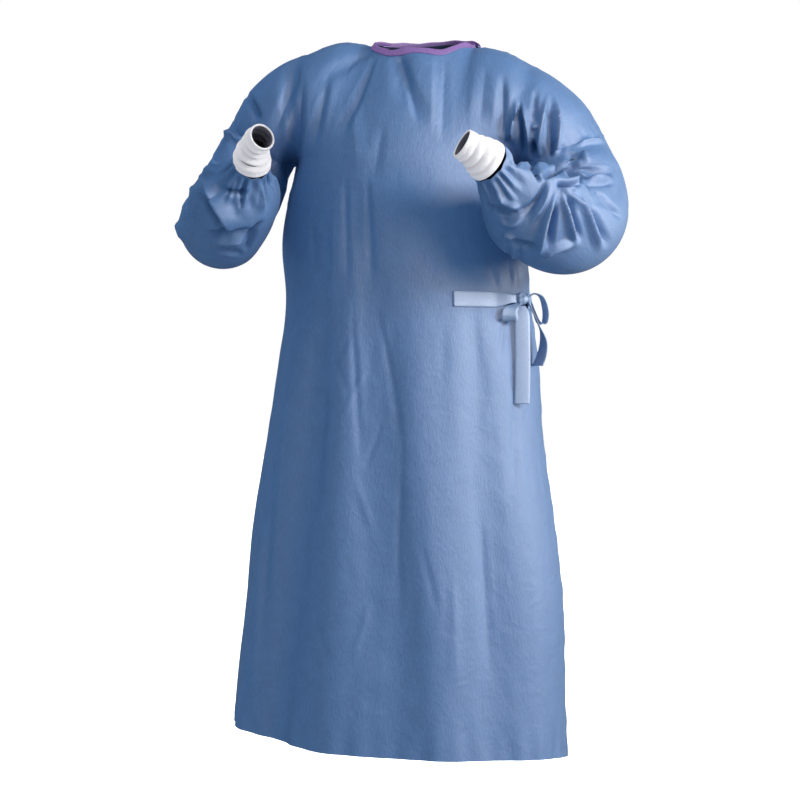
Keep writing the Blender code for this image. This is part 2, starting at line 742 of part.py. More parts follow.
def make_cuff(arm, finish):
    """A knit tube from the gathered end of the sleeve, bending up to its open end."""
    root, end = np.array(arm.wrist), np.array(arm.cuff_end)
    at, _, _ = arm_path(arm)
    heading = at(1.0)[1]
    root = root + heading * SEAM_GAP
    knee = root + heading * 0.5 * np.linalg.norm(end - root)
    side = unit(np.cross(heading, end - root))
    layers = []
    for depth in (0.0, KNIT):
        grid = []
        for j in range(CUFF_ROWS + 1):
            s = j / CUFF_ROWS
            centre = mix(mix(root, knee, s), mix(knee, end, s), s)
            along = unit(mix(knee - root, end - knee, s))
            up = np.cross(along, side)
            radius = mix(CUFF_ROOT_RADIUS, CUFF_END_RADIUS, smoothstep(s, 0.0, 0.8)) - depth
            wide = side * mix(1.0, arm.cuff_oval, smoothstep(s, 0.1, 0.9))
            turns = [2.0 * math.pi * i / CUFF_COLUMNS for i in range(CUFF_COLUMNS)]
            grid.append([centre + radius * (math.cos(t) * wide + math.sin(t) * up) for t in turns])
        layers.append(np.array(grid))
    wall("cuff_" + arm.side, layers[0], layers[1], finish, ring=True)


# Neck binding


def make_binding(front, front_normals, back, back_normals, finish):
    """One strip: inner back edge, round the front, and over to the outer back edge."""
    first, last = SHOULDER_COLUMNS, BACK_COLUMNS - SHOULDER_COLUMNS
    none = np.zeros(3)
    top = back.shape[0] - 1
    runs = [(back, back_normals, i, none) for i in range(INNER_BACK_END, first, -1)]
    runs += [(front, front_normals, i, none) for i in range(FRONT_COLUMNS - first, first - 1, -1)]
    runs += [
        (back, back_normals, i, lap_lift(back, back_normals, top, i))
        for i in range(last - 1, first - 1, -1)
    ]
    outer = []
    for grid, normals, i, lift in runs:
        foot = grid[-1, i] + lift + normals[-1, i] * 0.5 * (BINDING - CLOTH)
        rise = unit(unit(grid[-1, i] - grid[-2, i]) + np.array([0.0, 0.0, BINDING_STAND]))
        inward = unit(np.array([-foot[0], -foot[1], 0.0]))
        tops = []
        for k in range(3):
            share = k / 2
            lean = rise + inward * BINDING_LEAN * share
            tops.append(foot + rise * BINDING_CLEAR + unit(lean) * BINDING_WIDTH * share)
        outer.append(tops)
    outer = np.array(outer).transpose(1, 0, 2)
    run = np.gradient(outer, axis=1)
    up = np.gradient(outer, axis=0)
    away = np.cross(up, run)
    away /= np.linalg.norm(away, axis=2)[:, :, None]
    if np.sum(away * outer) < 0.0:
        away = -away
    wall("neck_binding", outer, outer - away * BINDING, finish)


# Waist ties


def on_panel(panels, degrees, z, stand):
    """A point a small way off the flat facets of the front, up to 180 degrees, or of the back."""
    grid = panels[0] if degrees <= 180.0 else panels[1]
    place = (degrees % 180.0 if degrees != 180.0 else 180.0) / 180.0 * (grid.shape[1] - 1)
    i = min(int(place), grid.shape[1] - 2)
    skirt = grid[: SKIRT_ROWS + 1]
    line = mix(skirt[:, i], skirt[:, i + 1], place - i)
    j = int(np.clip(np.searchsorted(line[:, 2], z) - 1, 0, SKIRT_ROWS - 1))
    here = mix(line[j], line[j + 1], (z - line[j, 2]) / (line[j + 1, 2] - line[j, 2]))
    out = unit(np.cross(skirt[j, i + 1] - skirt[j, i], line[j + 1] - line[j]))
    return here + out * stand


def make_tape_on_body(name, panels, angles, stand, width, finish):
    """A tape that lies round the body at the angles given."""
    layers = []
    for height in (TIE, 0.0):
        layers.append(
            np.array(
                [
                    [on_panel(panels, a, TIE_Z + width(a) * k, stand(a) + height) for a in angles]
                    for k in (-0.5, 0.0, 0.5)
                ]
            )
        )
    wall(name, layers[0], layers[1], finish)


def make_tape(name, knot, table, steps, finish):
    """A tape that hangs from the knot."""
    rows = np.array([spline(table, i / (steps - 1)) for i in range(steps)])
    centres = knot + rows[:, :3]
    facing = np.radians(rows[:, 3])
    across = np.stack([np.cos(facing), np.sin(facing), np.zeros(steps)], axis=1) * rows[:, 4:5]
    away = np.cross(np.gradient(centres, axis=0), across)
    away /= np.linalg.norm(away, axis=1)[:, None]
    edges = np.array([centres - 0.5 * across, centres, centres + 0.5 * across])
    wall(name, edges + 0.5 * TIE * away, edges - 0.5 * TIE * away, finish)


def make_ties(front, back, finish):
    panels = (front, back)
    column = 180.0 / FRONT_COLUMNS
    lap_edge = 180.0 + OUTER_BACK_END * 180.0 / BACK_COLUMNS

    def rise_to_knot(degrees):
        near = 1.0 - smoothstep(abs(degrees - KNOT_AT), *LIFT_SPAN)
        return near * (KNOT_STAND - TIE_CLEAR - 0.5 * TIE)

    def narrow(degrees):
        return TIE_WIDTH * mix(NARROWED, 1.0, smoothstep(abs(degrees - KNOT_AT), *NARROW_SPAN))

    def over_lap(degrees):
        return (LAP + LAP_CLEAR) * smoothstep(degrees, lap_edge - LAP_SPAN[0], lap_edge - LAP_SPAN[1])

    tab_steps = [TAB_START, *np.arange(19, 24) * column, KNOT_AT - TAB_END]
    make_tape_on_body(
        "tie_tab", panels, tab_steps, lambda a: TIE_CLEAR + rise_to_knot(a), narrow, finish
    )
    wrap_steps = [KNOT_AT + WRAP_START, *np.arange(25, 37) * column, WRAP_END]
    make_tape_on_body(
        "tie_wrap",
        panels,
        wrap_steps,
        lambda a: TIE_CLEAR + rise_to_knot(a) + over_lap(a),
        narrow,
        finish,
    )
    knot = on_panel(panels, KNOT_AT, TIE_Z, KNOT_STAND)
    make_knot(knot, finish)
    make_tape("tie_tail_long", knot, LONG_TAIL, 13, finish)
    make_tape("tie_tail_short", knot, SHORT_TAIL, 13, finish)
    make_tape("tie_loop_front", knot, FRONT_LOOP, 19, finish)
    make_tape("tie_loop_back", knot, BACK_LOOP, 21, finish)


def make_knot(centre, finish):
    """The knot is a tight rounded lump of tape."""
    shape = bmesh.new()
    bmesh.ops.create_icosphere(shape, subdivisions=2, radius=0.5)
    for vert in shape.verts:
        x, y, z = vert.co
        vert.co = centre + np.array([x, y, z]) * np.array(KNOT_SIZE)
    mesh = bpy.data.meshes.new("tie_knot")
    shape.to_mesh(mesh)
    shape.free()
    mesh.shade_smooth()
    mesh.materials.append(finish)
    made = bpy.data.objects.new("tie_knot", mesh)
    bpy.context.scene.collection.objects.link(made)


def build():
    clear_scene()
    cloth = material("gown_cloth", CLOTH_LOOK)
    knit = material("cuff_knit", KNIT_LOOK)
    edging = material("binding", BINDING_LOOK)
    tape = material("tie_tape", TIE_LOOK)

    front, back = front_surface(), back_surface()
    left, right = sleeve_surface(LEFT_ARM), sleeve_surface(RIGHT_ARM)
    join_seams(front, back, (left, right))
    # A sleeve's points run the other way round on the other arm, so one is turned to face outward
    left = left[:, (-np.arange(SLEEVE_COLUMNS)) % SLEEVE_COLUMNS]
    grids = [(front, False), (back, False), (left, True), (right, True)]
    own = shared_normals(grids[:2]) + shared_normals(grids[2:3]) + shared_normals(grids[3:])
    normals = [
        own_near_armpits(shared, alone, grid)
        for shared, alone, (grid, _) in zip(shared_normals(grids), own, grids)
    ]
    make_front(front, normals[0], cloth)
    make_backs(back, normals[1], cloth)
    make_sleeve(LEFT_ARM, left, normals[2], cloth)
    make_sleeve(RIGHT_ARM, right, normals[3], cloth)
    make_cuff(LEFT_ARM, knit)
    make_cuff(RIGHT_ARM, knit)
    make_binding(front, normals[0], back, normals[1], edging)
    make_ties(front, back, tape)


build()
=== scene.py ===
"""The looks of a wrap-around surgical gown, worn, with no wearer inside.

Metres, +Z up. The wearer faces -Y, so +X is the wearer's left. Every panel is worked out again, finer
than its solid, draped, creased and made into thin cloth in its own finish.
"""

import math
from collections import namedtuple

import bmesh
import bpy
import numpy as np
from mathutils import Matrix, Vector


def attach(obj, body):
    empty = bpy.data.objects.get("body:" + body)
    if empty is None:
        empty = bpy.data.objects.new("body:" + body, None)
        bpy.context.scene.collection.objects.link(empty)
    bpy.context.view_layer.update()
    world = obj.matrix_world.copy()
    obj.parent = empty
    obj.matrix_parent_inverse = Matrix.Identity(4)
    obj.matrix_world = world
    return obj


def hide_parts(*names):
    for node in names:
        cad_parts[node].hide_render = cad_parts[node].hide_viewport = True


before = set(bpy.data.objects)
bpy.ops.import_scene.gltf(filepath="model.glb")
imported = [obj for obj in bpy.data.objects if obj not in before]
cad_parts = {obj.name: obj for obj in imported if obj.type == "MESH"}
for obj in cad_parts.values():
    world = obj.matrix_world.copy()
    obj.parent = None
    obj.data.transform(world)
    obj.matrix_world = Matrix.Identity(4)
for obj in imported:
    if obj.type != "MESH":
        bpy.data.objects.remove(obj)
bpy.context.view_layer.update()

# Studio: a level view from a little toward the wearer's left, on plain white. The key light stands well
# round on that side and a little above, so that the forearm shades the chest and the wearer's right arm
# lies in the dark. Two lights add the cloth's whitish shine alone, and three soft ones add none of it.
CAMERA_TURN = math.radians(10.0)
CAMERA_DISTANCE = 3.6
PICTURE = 800  # the picture's width and height
PIXEL = 0.00168  # what one of its pixels covers at the gown
SENSOR = 36.0
AIM_ACROSS = -0.042
AIM_HEIGHT = -0.596
Light = namedtuple("Light", "name across out up size power colour")
LIGHTS = (
    Light("key", 1.95, 1.12, 0.80, 0.5, 40.0, (1.0, 0.95, 0.90)),
    Light("shine", 0.98, 1.30, 0.72, 0.5, 46.0, (0.86, 0.88, 1.0)),
    Light("edge", 2.20, 0.25, 0.25, 0.6, 54.0, (0.88, 0.93, 1.0)),
    Light("top", -0.3, 1.0, 2.9, 2.4, 20.0, (1.0, 0.97, 0.92)),
    Light("behind", 0.75, -2.15, 1.10, 0.7, 80.0, (0.94, 0.97, 1.0)),
    Light("far_side", -1.80, -1.50, 1.20, 0.7, 20.0, (0.94, 0.97, 1.0)),
)
SHINE_ONLY = ("shine", "edge")
NO_SHINE = ("top", "behind", "far_side")
LIT_ABOVE_AIM = 0.3
SKY_FILL = (0.94, 0.96, 1.0)
SKY_STRENGTH = 0.84
FLOOR_Z = -1.50
FLOOR_SIZE = 60.0

picture_across = np.array([math.cos(CAMERA_TURN), math.sin(CAMERA_TURN), 0.0])
to_camera = np.array([math.sin(CAMERA_TURN), -math.cos(CAMERA_TURN), 0.0])
up = np.array([0.0, 0.0, 1.0])
aim = picture_across * AIM_ACROSS + up * AIM_HEIGHT


def add_to_scene(name, data):
    made = bpy.data.objects.new(name, data)
    bpy.context.scene.collection.objects.link(made)
    return made


def point_at(item, target):
    item.rotation_euler = (Vector(target) - item.location).to_track_quat("-Z", "Y").to_euler()


camera = add_to_scene("camera", bpy.data.cameras.new("camera"))
camera.location = aim + to_camera * CAMERA_DISTANCE
point_at(camera, aim)
camera.data.sensor_width = SENSOR
camera.data.lens = SENSOR * CAMERA_DISTANCE / (PICTURE * PIXEL)
bpy.context.scene.camera = camera

for row in LIGHTS:
    lamp = bpy.data.lights.new(row.name, "AREA")
    lamp.size = row.size
    lamp.energy = row.power
    lamp.color = row.colour
    placed = add_to_scene(row.name, lamp)
    placed.location = aim + picture_across * row.across + to_camera * row.out + up * row.up
    point_at(placed, aim + up * LIT_ABOVE_AIM)
    placed.visible_diffuse = row.name not in SHINE_ONLY
    placed.visible_glossy = row.name not in NO_SHINE

sky = bpy.data.worlds.new("studio")
sky.cycles_visibility.glossy = False
bpy.context.scene.world = sky
sky.use_nodes = True
sky_nodes, sky_links = sky.node_tree.nodes, sky.node_tree.links
fill = sky_nodes["Background"]
fill.inputs["Color"].default_value = (*SKY_FILL, 1.0)
fill.inputs["Strength"].default_value = SKY_STRENGTH
backdrop = sky_nodes.new("ShaderNodeBackground")
backdrop.inputs["Color"].default_value = (1.0, 1.0, 1.0, 1.0)
seen = sky_nodes.new("ShaderNodeLightPath")
either = sky_nodes.new("ShaderNodeMixShader")
sky_links.new(seen.outputs["Is Camera Ray"], either.inputs["Fac"])
sky_links.new(fill.outputs[0], either.inputs[1])
sky_links.new(backdrop.outputs[0], either.inputs[2])
sky_links.new(either.outputs[0], sky_nodes["World Output"].inputs["Surface"])

bpy.context.scene.view_settings.view_transform = "Standard"

paper = bpy.data.materials.new("white_floor")
paper.use_nodes = True
paper_shader = paper.node_tree.nodes["Principled BSDF"]
WHITE_PAPER = {
    "Base Color": (0.9, 0.9, 0.9, 1.0),
    "Roughness": 0.9,
    "Emission Color": (1.0, 1.0, 1.0, 1.0),
    "Emission Strength": 1.0,
}
for socket, value in WHITE_PAPER.items():
    paper_shader.inputs[socket].default_value = value
floor_mesh = bpy.data.meshes.new("floor")
reach = 0.5 * FLOOR_SIZE
corners = [(x * reach, y * reach, FLOOR_Z) for x, y in ((-1, -1), (1, -1), (1, 1), (-1, 1))]
floor_mesh.from_pydata(corners, [], [(0, 1, 2, 3)])
floor_mesh.materials.append(paper)
floor = add_to_scene("floor", floor_mesh)
floor.visible_diffuse = False
floor.visible_glossy = False

# Body: one front panel and two back panels, cut from nonwoven sheet and joined at the sides and shoulders.
# They are worked out together as one tube, open at the hem and drawn in to the neck and the armholes.
FINER = 2  # times as many rows and columns as the solids have, before they are doubled again
FRONT_COLUMNS = 28 * FINER
BACK_COLUMNS = 28 * FINER
SKIRT_ROWS = 15 * FINER
YOKE_ROWS = 10 * FINER
SHOULDER_COLUMNS = 8 * FINER
INNER_BACK_END = 18 * FINER
OUTER_BACK_END = 8 * FINER
LAP = 0.0042  # how far the outer back panel lies off the inner one's surface


def table(kind, *rows):
    """Rows of numbers under the names of their columns."""
    return [kind(*row) for row in rows]


# The hem, lifted at the wearer's right: degrees round the body from the right side seam, and height
HemPoint = namedtuple("HemPoint", "degrees z")
HEM = table(
    HemPoint,
    (0, -1.128), (20, -1.133), (35, -1.140), (50, -1.151), (70, -1.162), (90, -1.167),
    (120, -1.172), (150, -1.177), (180, -1.186), (225, -1.182), (270, -1.172), (315, -1.152),
    (360, -1.128),
)

# Sections of the body: height, middle across, half width, depth in front and behind
Section = namedtuple("Section", "z middle half front back")
SECTIONS = table(
    Section,
    (-1.20, -0.047, 0.290, 0.192, 0.175),
    (-1.07, -0.043, 0.283, 0.190, 0.170),
    (-0.93, -0.036, 0.273, 0.186, 0.163),
    (-0.80, -0.037, 0.259, 0.180, 0.155),
    (-0.66, -0.035, 0.237, 0.172, 0.142),
    (-0.53, -0.029, 0.222, 0.164, 0.128),
    (-0.43, -0.029, 0.208, 0.156, 0.118),
    (-0.33, -0.036, 0.208, 0.155, 0.118),
    (-0.25, -0.038, 0.196, 0.157, 0.122),
    (-0.19, -0.030, 0.193, 0.154, 0.122),
)

# Long soft folds of the body: place round it in degrees from the wearer's right side seam through the
# front, at the hem and at the top, then half width in degrees, height (a trough is negative) at the
# hem and at the top, and the range of z
Fold = namedtuple("Fold", "hem_at top_at width hem_rise top_rise low high")
FOLDS = table(
    Fold,
    (30, 40, 9, 0.012, 0.004, -1.20, -0.45),
    (50, 60, 8, -0.011, -0.003, -1.20, -0.40),
    (74, 68, 8, 0.005, 0.002, -1.20, -0.24),
    (88, 76, 6, -0.004, -0.004, -1.05, -0.22),
    (99, 84, 7, -0.006, -0.003, -1.12, -0.30),
    (112, 100, 9, 0.005, 0.002, -1.20, -0.50),
    (131, 128, 8, -0.006, -0.002, -1.20, -0.62),
    (151, 150, 9, 0.006, 0.002, -1.20, -0.60),
    (196, 196, 8, -0.010, -0.003, -1.20, -0.55),
    (215, 214, 9, 0.012, 0.004, -1.20, -0.45),
    (238, 236, 8, -0.011, -0.005, -1.20, -0.36),
    (262, 262, 9, 0.012, 0.005, -1.20, -0.30),
    (284, 286, 7, -0.010, -0.006, -1.20, -0.30),
    (305, 304, 9, 0.011, 0.005, -1.20, -0.42),
    (331, 330, 8, -0.010, -0.003, -1.20, -0.50),
)

# Ends of the long folds fade over this height, but not at the hem
FOLD_FADE = 0.12
HEM_LEVEL = -1.19

# Shoulder line from the neck to the armhole seam: place across and height
ShoulderPoint = namedtuple("ShoulderPoint", "x z")
RIGHT_SHOULDER = table(
    ShoulderPoint,
    (-0.089, 0.000), (-0.128, 0.008), (-0.163, 0.002), (-0.198, -0.009), (-0.232, -0.022),
    (-0.267, -0.043), (-0.302, -0.075), (-0.327, -0.117),
)
LEFT_SHOULDER = table(
    ShoulderPoint,
    (0.084, -0.007), (0.110, -0.009), (0.144, -0.019), (0.177, -0.038), (0.211, -0.058),
    (0.246, -0.086), (0.271, -0.113), (0.297, -0.156),
)

# Neckline, where the panels end and the binding begins, from the right round the front
NeckPoint = namedtuple("NeckPoint", "x y z")
NECKLINE = table(
    NeckPoint,
    (-0.089, 0.000, 0.000), (-0.079, -0.044, -0.012), (-0.046, -0.074, -0.0265),
    (-0.002, -0.082, -0.0235), (0.040, -0.074, -0.0275), (0.070, -0.044, -0.0115),
    (0.084, 0.000, -0.007), (0.073, 0.038, 0.003), (0.043, 0.066, 0.011), (-0.002, 0.074, 0.010),
    (-0.046, 0.066, 0.008), (-0.078, 0.038, 0.006),
)

# How round the cloth turns over from the chest to the top edge, at the shoulder and at the neck
SHOULDER_ROUND = 1.0
NECK_ROUND = 0.42
NECK_PART = (0.5, 0.95)  # where along the top edge the turn changes from the one to the other
ARMHOLE_REACH = 0.36  # share of a panel's width that bends toward the armhole

# Folds of the yoke: column share and row share of the ends, half width as a share, height in metres
YokeFold = namedtuple("YokeFold", "u0 v0 u1 v1 width rise")
FRONT_YOKE_FOLDS = table(
    YokeFold,
    (0.36, 0.96, 0.24, 0.45, 0.020, -0.006),
    (0.46, 0.92, 0.50, 0.50, 0.022, -0.007),
    (0.53, 0.90, 0.56, 0.50, 0.030, 0.003),
    (0.17, 0.88, 0.12, 0.10, 0.022, -0.008),
    (0.84, 0.80, 0.90, 0.10, 0.020, -0.006),
)
BACK_YOKE_FOLDS = table(
    YokeFold,
    (0.20, 0.80, 0.30, 0.05, 0.024, -0.006),
    (0.80, 0.80, 0.70, 0.05, 0.024, -0.006),
    (0.40, 0.85, 0.42, 0.10, 0.026, 0.005),
    (0.62, 0.85, 0.60, 0.10, 0.026, 0.005),
)

# An arm: armhole seam at the outline and at the armpit, reach to the front and back, the inner-elbow
# point round which the sleeve bends, the wrist seam, and the open end of the cuff
Arm = namedtuple(
    "Arm",
    "side outer armpit front back elbow_pivot bend elbow wrist cuff_end forearm sag gather_from top_drop",
)
LEFT_ARM = Arm(
    side="left",
    outer=(0.297, 0.0, -0.156),
    armpit=(0.163, 0.0, -0.206),
    front=(0.228, -0.086, -0.192),
    back=(0.232, 0.082, -0.155),
    elbow_pivot=(0.217, -0.1025, -0.2311),
    bend=0.084,
    elbow=0.083,
    wrist=(0.1456, -0.2789, -0.2290),
    cuff_end=(0.108, -0.303, -0.203),
    forearm=0.084,
    sag=0.016,
    gather_from=0.70,
    top_drop=0.024,
)
RIGHT_ARM = Arm(
    side="right",
    outer=(-0.327, 0.0, -0.117),
    armpit=(-0.223, 0.0, -0.200),
    front=(-0.280, -0.080, -0.172),
    back=(-0.280, 0.078, -0.145),
    elbow_pivot=(-0.279, -0.1377, -0.2370),
    bend=0.076,
    elbow=0.072,
    wrist=(-0.2234, -0.3034, -0.2266),
    cuff_end=(-0.195, -0.3543, -0.1928),
    forearm=0.067,
    sag=0.009,
    gather_from=0.80,
    top_drop=0.014,
)
ARMPIT_POINT = 0.8  # how pointed the armhole is at the armpit, and over what share of its round
ARMPIT_SPREAD = 0.12
SIDE_CREASE = 0.3  # how pointed the side seam is just below it, over these heights and degrees
SIDE_CREASE_FROM, SIDE_CREASE_TO = -0.36, -0.20
SIDE_CREASE_WIDTH = 18.0
SLEEVE_COLUMNS = 2 * YOKE_ROWS
SLEEVE_ROWS = 24 * FINER
GATHERED_RADIUS = {"left": 0.034, "right": 0.0295}
PLEATS = 10
PLEAT_DEPTH = 0.001
ELBOW_CREASES = 5
ELBOW_CREASE_DEPTH = 0.004
ELBOW_TUCK = 0.013  # how far the cloth draws in at the inside of the elbow

# Where along the arm, from the armhole at 0 to the wrist at 1, each of these comes and goes
FOREARM_FULL = 0.85
GATHER_CURVE = 1.1
DROP_FROM, DROP_FULL, DROP_END = 0.42, 0.62, 0.94
PLEATS_FROM, PLEATS_FULL = 0.78, 0.96
SAG_FROM, SAG_FULL, SAG_END = 0.35, 0.70, 0.86
BEND_FROM, BEND_FULL, BEND_FADE, BEND_END = 0.20, 0.35, 0.60, 0.75


def smoothstep(value, low=0.0, high=1.0):
    share = min(max((value - low) / (high - low), 0.0), 1.0)
    return share * share * (3.0 - 2.0 * share)


def mix(a, b, share):
    return a + (b - a) * share


def unit(vector):
    return vector / np.linalg.norm(vector)


def spline(points, share):
    """A smooth curve through the points, from share 0 to 1."""
    points = np.asarray(points, float)
    place = min(max(share, 0.0), 1.0) * (len(points) - 1)
    i = min(int(place), len(points) - 2)
    f = place - i
    p0, p1 = points[max(i - 1, 0)], points[i]
    p2, p3 = points[i + 1], points[min(i + 2, len(points) - 1)]
    return p1 + 0.5 * f * (
        p2 - p0 + f * (2 * p0 - 5 * p1 + 4 * p2 - p3 + f * (3 * (p1 - p2) + p3 - p0))
    )


def section_at(z):
    """Middle, half width, front depth and back depth of the body at a height."""
    heights = [row.z for row in SECTIONS]
    i = int(np.clip(np.searchsorted(heights, z) - 1, 0, len(SECTIONS) - 2))
    share = (i + (z - heights[i]) / (heights[i + 1] - heights[i])) / (len(SECTIONS) - 1)
    return spline([row[1:] for row in SECTIONS], share)


def fold_rise(degrees, z):
    """How far the long folds lift the cloth off the plain section."""
    rise = 0.0
    for fold in FOLDS:
        along = min(max((z - fold.low) / (fold.high - fold.low), 0.0), 1.0)
        top_fade = smoothstep(fold.high - z, 0.0, FOLD_FADE)
        low_fade = 1.0 if fold.low < HEM_LEVEL else smoothstep(z - fold.low, 0.0, FOLD_FADE)
        at = mix(fold.hem_at, fold.top_at, along)
        height = mix(fold.hem_rise, fold.top_rise, along)
        rise += height * top_fade * low_fade * math.exp(-(((degrees - at) / fold.width) ** 2))
    return rise


def body_point(degrees, z):
    """Outer cloth at an angle round the body: 0 and 180 are the side seams, 90 the front."""
    middle, half, front, back = section_at(z)
    angle = math.radians(degrees)
    depth = front if degrees <= 180.0 else back
    from_seam = min(degrees % 180.0, 180.0 - degrees % 180.0)
    crease = SIDE_CREASE * smoothstep(z, SIDE_CREASE_FROM, SIDE_CREASE_TO)
    crease *= math.exp(-((from_seam / SIDE_CREASE_WIDTH) ** 2))
    x = -math.cos(angle) * half * (1.0 - crease * from_seam / 90.0)
    y = -math.sin(angle) * depth
    out = unit(np.array([x / half**2, y / depth**2]))
    rise = fold_rise(degrees, z)
    return np.array([middle + x + out[0] * rise, y + out[1] * rise, z])


def armpit_z(degrees):
    share = 0.5 - 0.5 * math.cos(math.radians(degrees))
    return mix(RIGHT_ARM.armpit[2], LEFT_ARM.armpit[2], share)


def hem_z(degrees):
    return float(np.interp(degrees, [p.degrees for p in HEM], [p.z for p in HEM]))


def skirt_rows(start, columns):
    """Rows of points from the hem up to the armpit, over half a turn from start degrees."""
    angles = [start + 180.0 * i / columns for i in range(columns + 1)]
    return [
        [body_point(a, mix(hem_z(a), armpit_z(a), j / SKIRT_ROWS)) for a in angles]
        for j in range(SKIRT_ROWS + 1)
    ]


def armhole(arm, share):
    """The armhole seam: share 0 is the armpit, 0.25 the front, 0.5 the outline, 0.75 the back."""
    turn = 2.0 * math.pi * share
    outer, armpit = np.array(arm.outer), np.array(arm.armpit)
    front, back = np.array(arm.front), np.array(arm.back)
    across = 0.5 * (outer - armpit)
    middle = 0.5 * (outer + armpit)
    forward = front - middle if share < 0.5 else middle - back
    from_armpit = min(share, 1.0 - share)
    pointed = ARMPIT_POINT * math.exp(-((from_armpit / ARMPIT_SPREAD) ** 2))
    inward = mix(math.cos(turn), 1.0 - 4.0 * from_armpit, pointed)
    return middle - across * inward + forward * math.sin(turn)


def neckline(turn):
    """Where the panels end at the neck: turn 0 is the wearer's right, 90 the front, 180 the left."""
    count = len(NECKLINE)
    place = turn / 360.0 * count
    around = [NECKLINE[(int(place) + k) % count] for k in (-1, 0, 1, 2)]
    return spline(around, (1.0 + place - int(place)) / 3.0)


def shoulder_line(points, share):
    """From the armhole seam, share 0, to the side of the neck, share 1."""
    x, z = spline([(p.x, p.z) for p in reversed(points)], share)
    return np.array([x, 0.0, z])


def top_edge(first, last, turns, columns):
    """Shoulder line, neckline, shoulder line: the upper edge of the front or of the back."""
    steps = [i / SHOULDER_COLUMNS for i in range(SHOULDER_COLUMNS + 1)]
    across = columns - 2 * SHOULDER_COLUMNS
    edge = [shoulder_line(first, share) for share in steps[:-1]]
    edge += [neckline(mix(*turns, i / across)) for i in range(across + 1)]
    edge += [shoulder_line(last, 1.0 - share) for share in steps[1:]]
    return edge


def over(low, high, share, roundness):
    """Between two points: straight, or rising first and then turning over."""
    turn = 0.5 * math.pi * share
    straight = mix(low, high, share)
    rounded = np.array(
        [
            straight[0],
            mix(low[1], high[1], 1.0 - math.cos(turn)),
            mix(low[2], high[2], math.sin(turn)),
        ]
    )
    return mix(straight, rounded, roundness)


# Yoke folds fade out over these shares of the height, and rise by this share of how far they stand out
YOKE_FOLD_FADE = 0.15
TOP_EDGE_FADE = 0.12
YOKE_FOLD_LIFT = 0.5


def yoke_rise(folds, u, v):
    rise = 0.0
    for fold in folds:
        along = min(max((fold.v0 - v) / (fold.v0 - fold.v1), 0.0), 1.0)
        inside = smoothstep(v, fold.v1 - YOKE_FOLD_FADE, fold.v1 + YOKE_FOLD_FADE)
        inside *= smoothstep(1.0 - v, 0.0, TOP_EDGE_FADE)
        at = mix(fold.u0, fold.u1, along)
        rise += fold.rise * inside * math.exp(-(((u - at) / fold.width) ** 2))
    return rise


def yoke_rows(chest, edge, first_side, last_side, folds, outward):
    """Rows from the chest up to the top edge, drawn sideways into the two armholes."""
    columns = len(chest) - 1
    rows = []
    for j in range(1, YOKE_ROWS + 1):
        v = j / YOKE_ROWS
        pull_first = first_side(v) - over(chest[0], edge[0], v, SHOULDER_ROUND)
        pull_last = last_side(v) - over(chest[-1], edge[-1], v, SHOULDER_ROUND)
        row = []
        for i in range(columns + 1):
            u = i / columns
            near_neck = math.sin(math.pi * u) ** 2
            roundness = mix(SHOULDER_ROUND, NECK_ROUND, smoothstep(near_neck, *NECK_PART))
            point = over(chest[i], edge[i], v, roundness)
            point = point + pull_first * (1.0 - smoothstep(u, 0.0, ARMHOLE_REACH))
            point = point + pull_last * (1.0 - smoothstep(1.0 - u, 0.0, ARMHOLE_REACH))
            rise = yoke_rise(folds, u, v)
            row.append(point + np.array([0.0, outward * rise, YOKE_FOLD_LIFT * rise]))
        rows.append(row)
    return rows


def front_surface():
    rows = skirt_rows(0.0, FRONT_COLUMNS)
    edge = top_edge(RIGHT_SHOULDER, LEFT_SHOULDER, (0.0, 180.0), FRONT_COLUMNS)
    rows += yoke_rows(
        rows[-1],
        edge,
        lambda v: armhole(RIGHT_ARM, 0.5 * v),
        lambda v: armhole(LEFT_ARM, 0.5 * v),
        FRONT_YOKE_FOLDS,
        -1.0,
    )
    return np.array(rows)


def back_surface():
    rows = skirt_rows(180.0, BACK_COLUMNS)
    edge = top_edge(LEFT_SHOULDER, RIGHT_SHOULDER, (180.0, 360.0), BACK_COLUMNS)
    rows += yoke_rows(
        rows[-1],
        edge,
        lambda v: armhole(LEFT_ARM, 1.0 - 0.5 * v),
        lambda v: armhole(RIGHT_ARM, 1.0 - 0.5 * v),
        BACK_YOKE_FOLDS,
        1.0,
    )
    return np.array(rows)


def arm_path(arm):
    """Ring centres from the armhole to the wrist, with the direction along the arm at each."""
    start = 0.5 * (np.array(arm.outer) + np.array(arm.armpit))
    pivot, wrist = np.array(arm.elbow_pivot), np.array(arm.wrist)
    # The upper arm and the forearm both pass the pivot at the bend's radius
    down = unit(pivot - start)
    along = unit(wrist - pivot)
    for _ in range(8):
        off_upper = -unit(along - down * np.dot(along, down))
        off_fore = unit(down - along * np.dot(down, along))
        down = unit(pivot + off_upper * arm.bend - start)
        along = unit(wrist - (pivot + off_fore * arm.bend))
    turn = math.acos(np.dot(down, along))
    lengths = (
        np.linalg.norm(pivot + off_upper * arm.bend - start),
        arm.bend * turn,
        np.linalg.norm(wrist - pivot - off_fore * arm.bend),
    )

    def at(share):
        run = share * sum(lengths)
        if run < lengths[0]:
            return start + down * run, down
        if run < lengths[0] + lengths[1]:
            angle = (run - lengths[0]) / arm.bend
            off = math.cos(angle) * off_upper + math.sin(angle) * unit(
                down - off_upper * np.dot(down, off_upper)
            )
            along_here = math.cos(angle) * down - math.sin(angle) * off_upper
            return pivot + off * arm.bend, unit(along_here)
        rest = run - lengths[0] - lengths[1]
        return pivot + off_fore * arm.bend + along * rest, along

    return at, off_upper, [sum(lengths[: i + 1]) / sum(lengths) for i in range(3)]


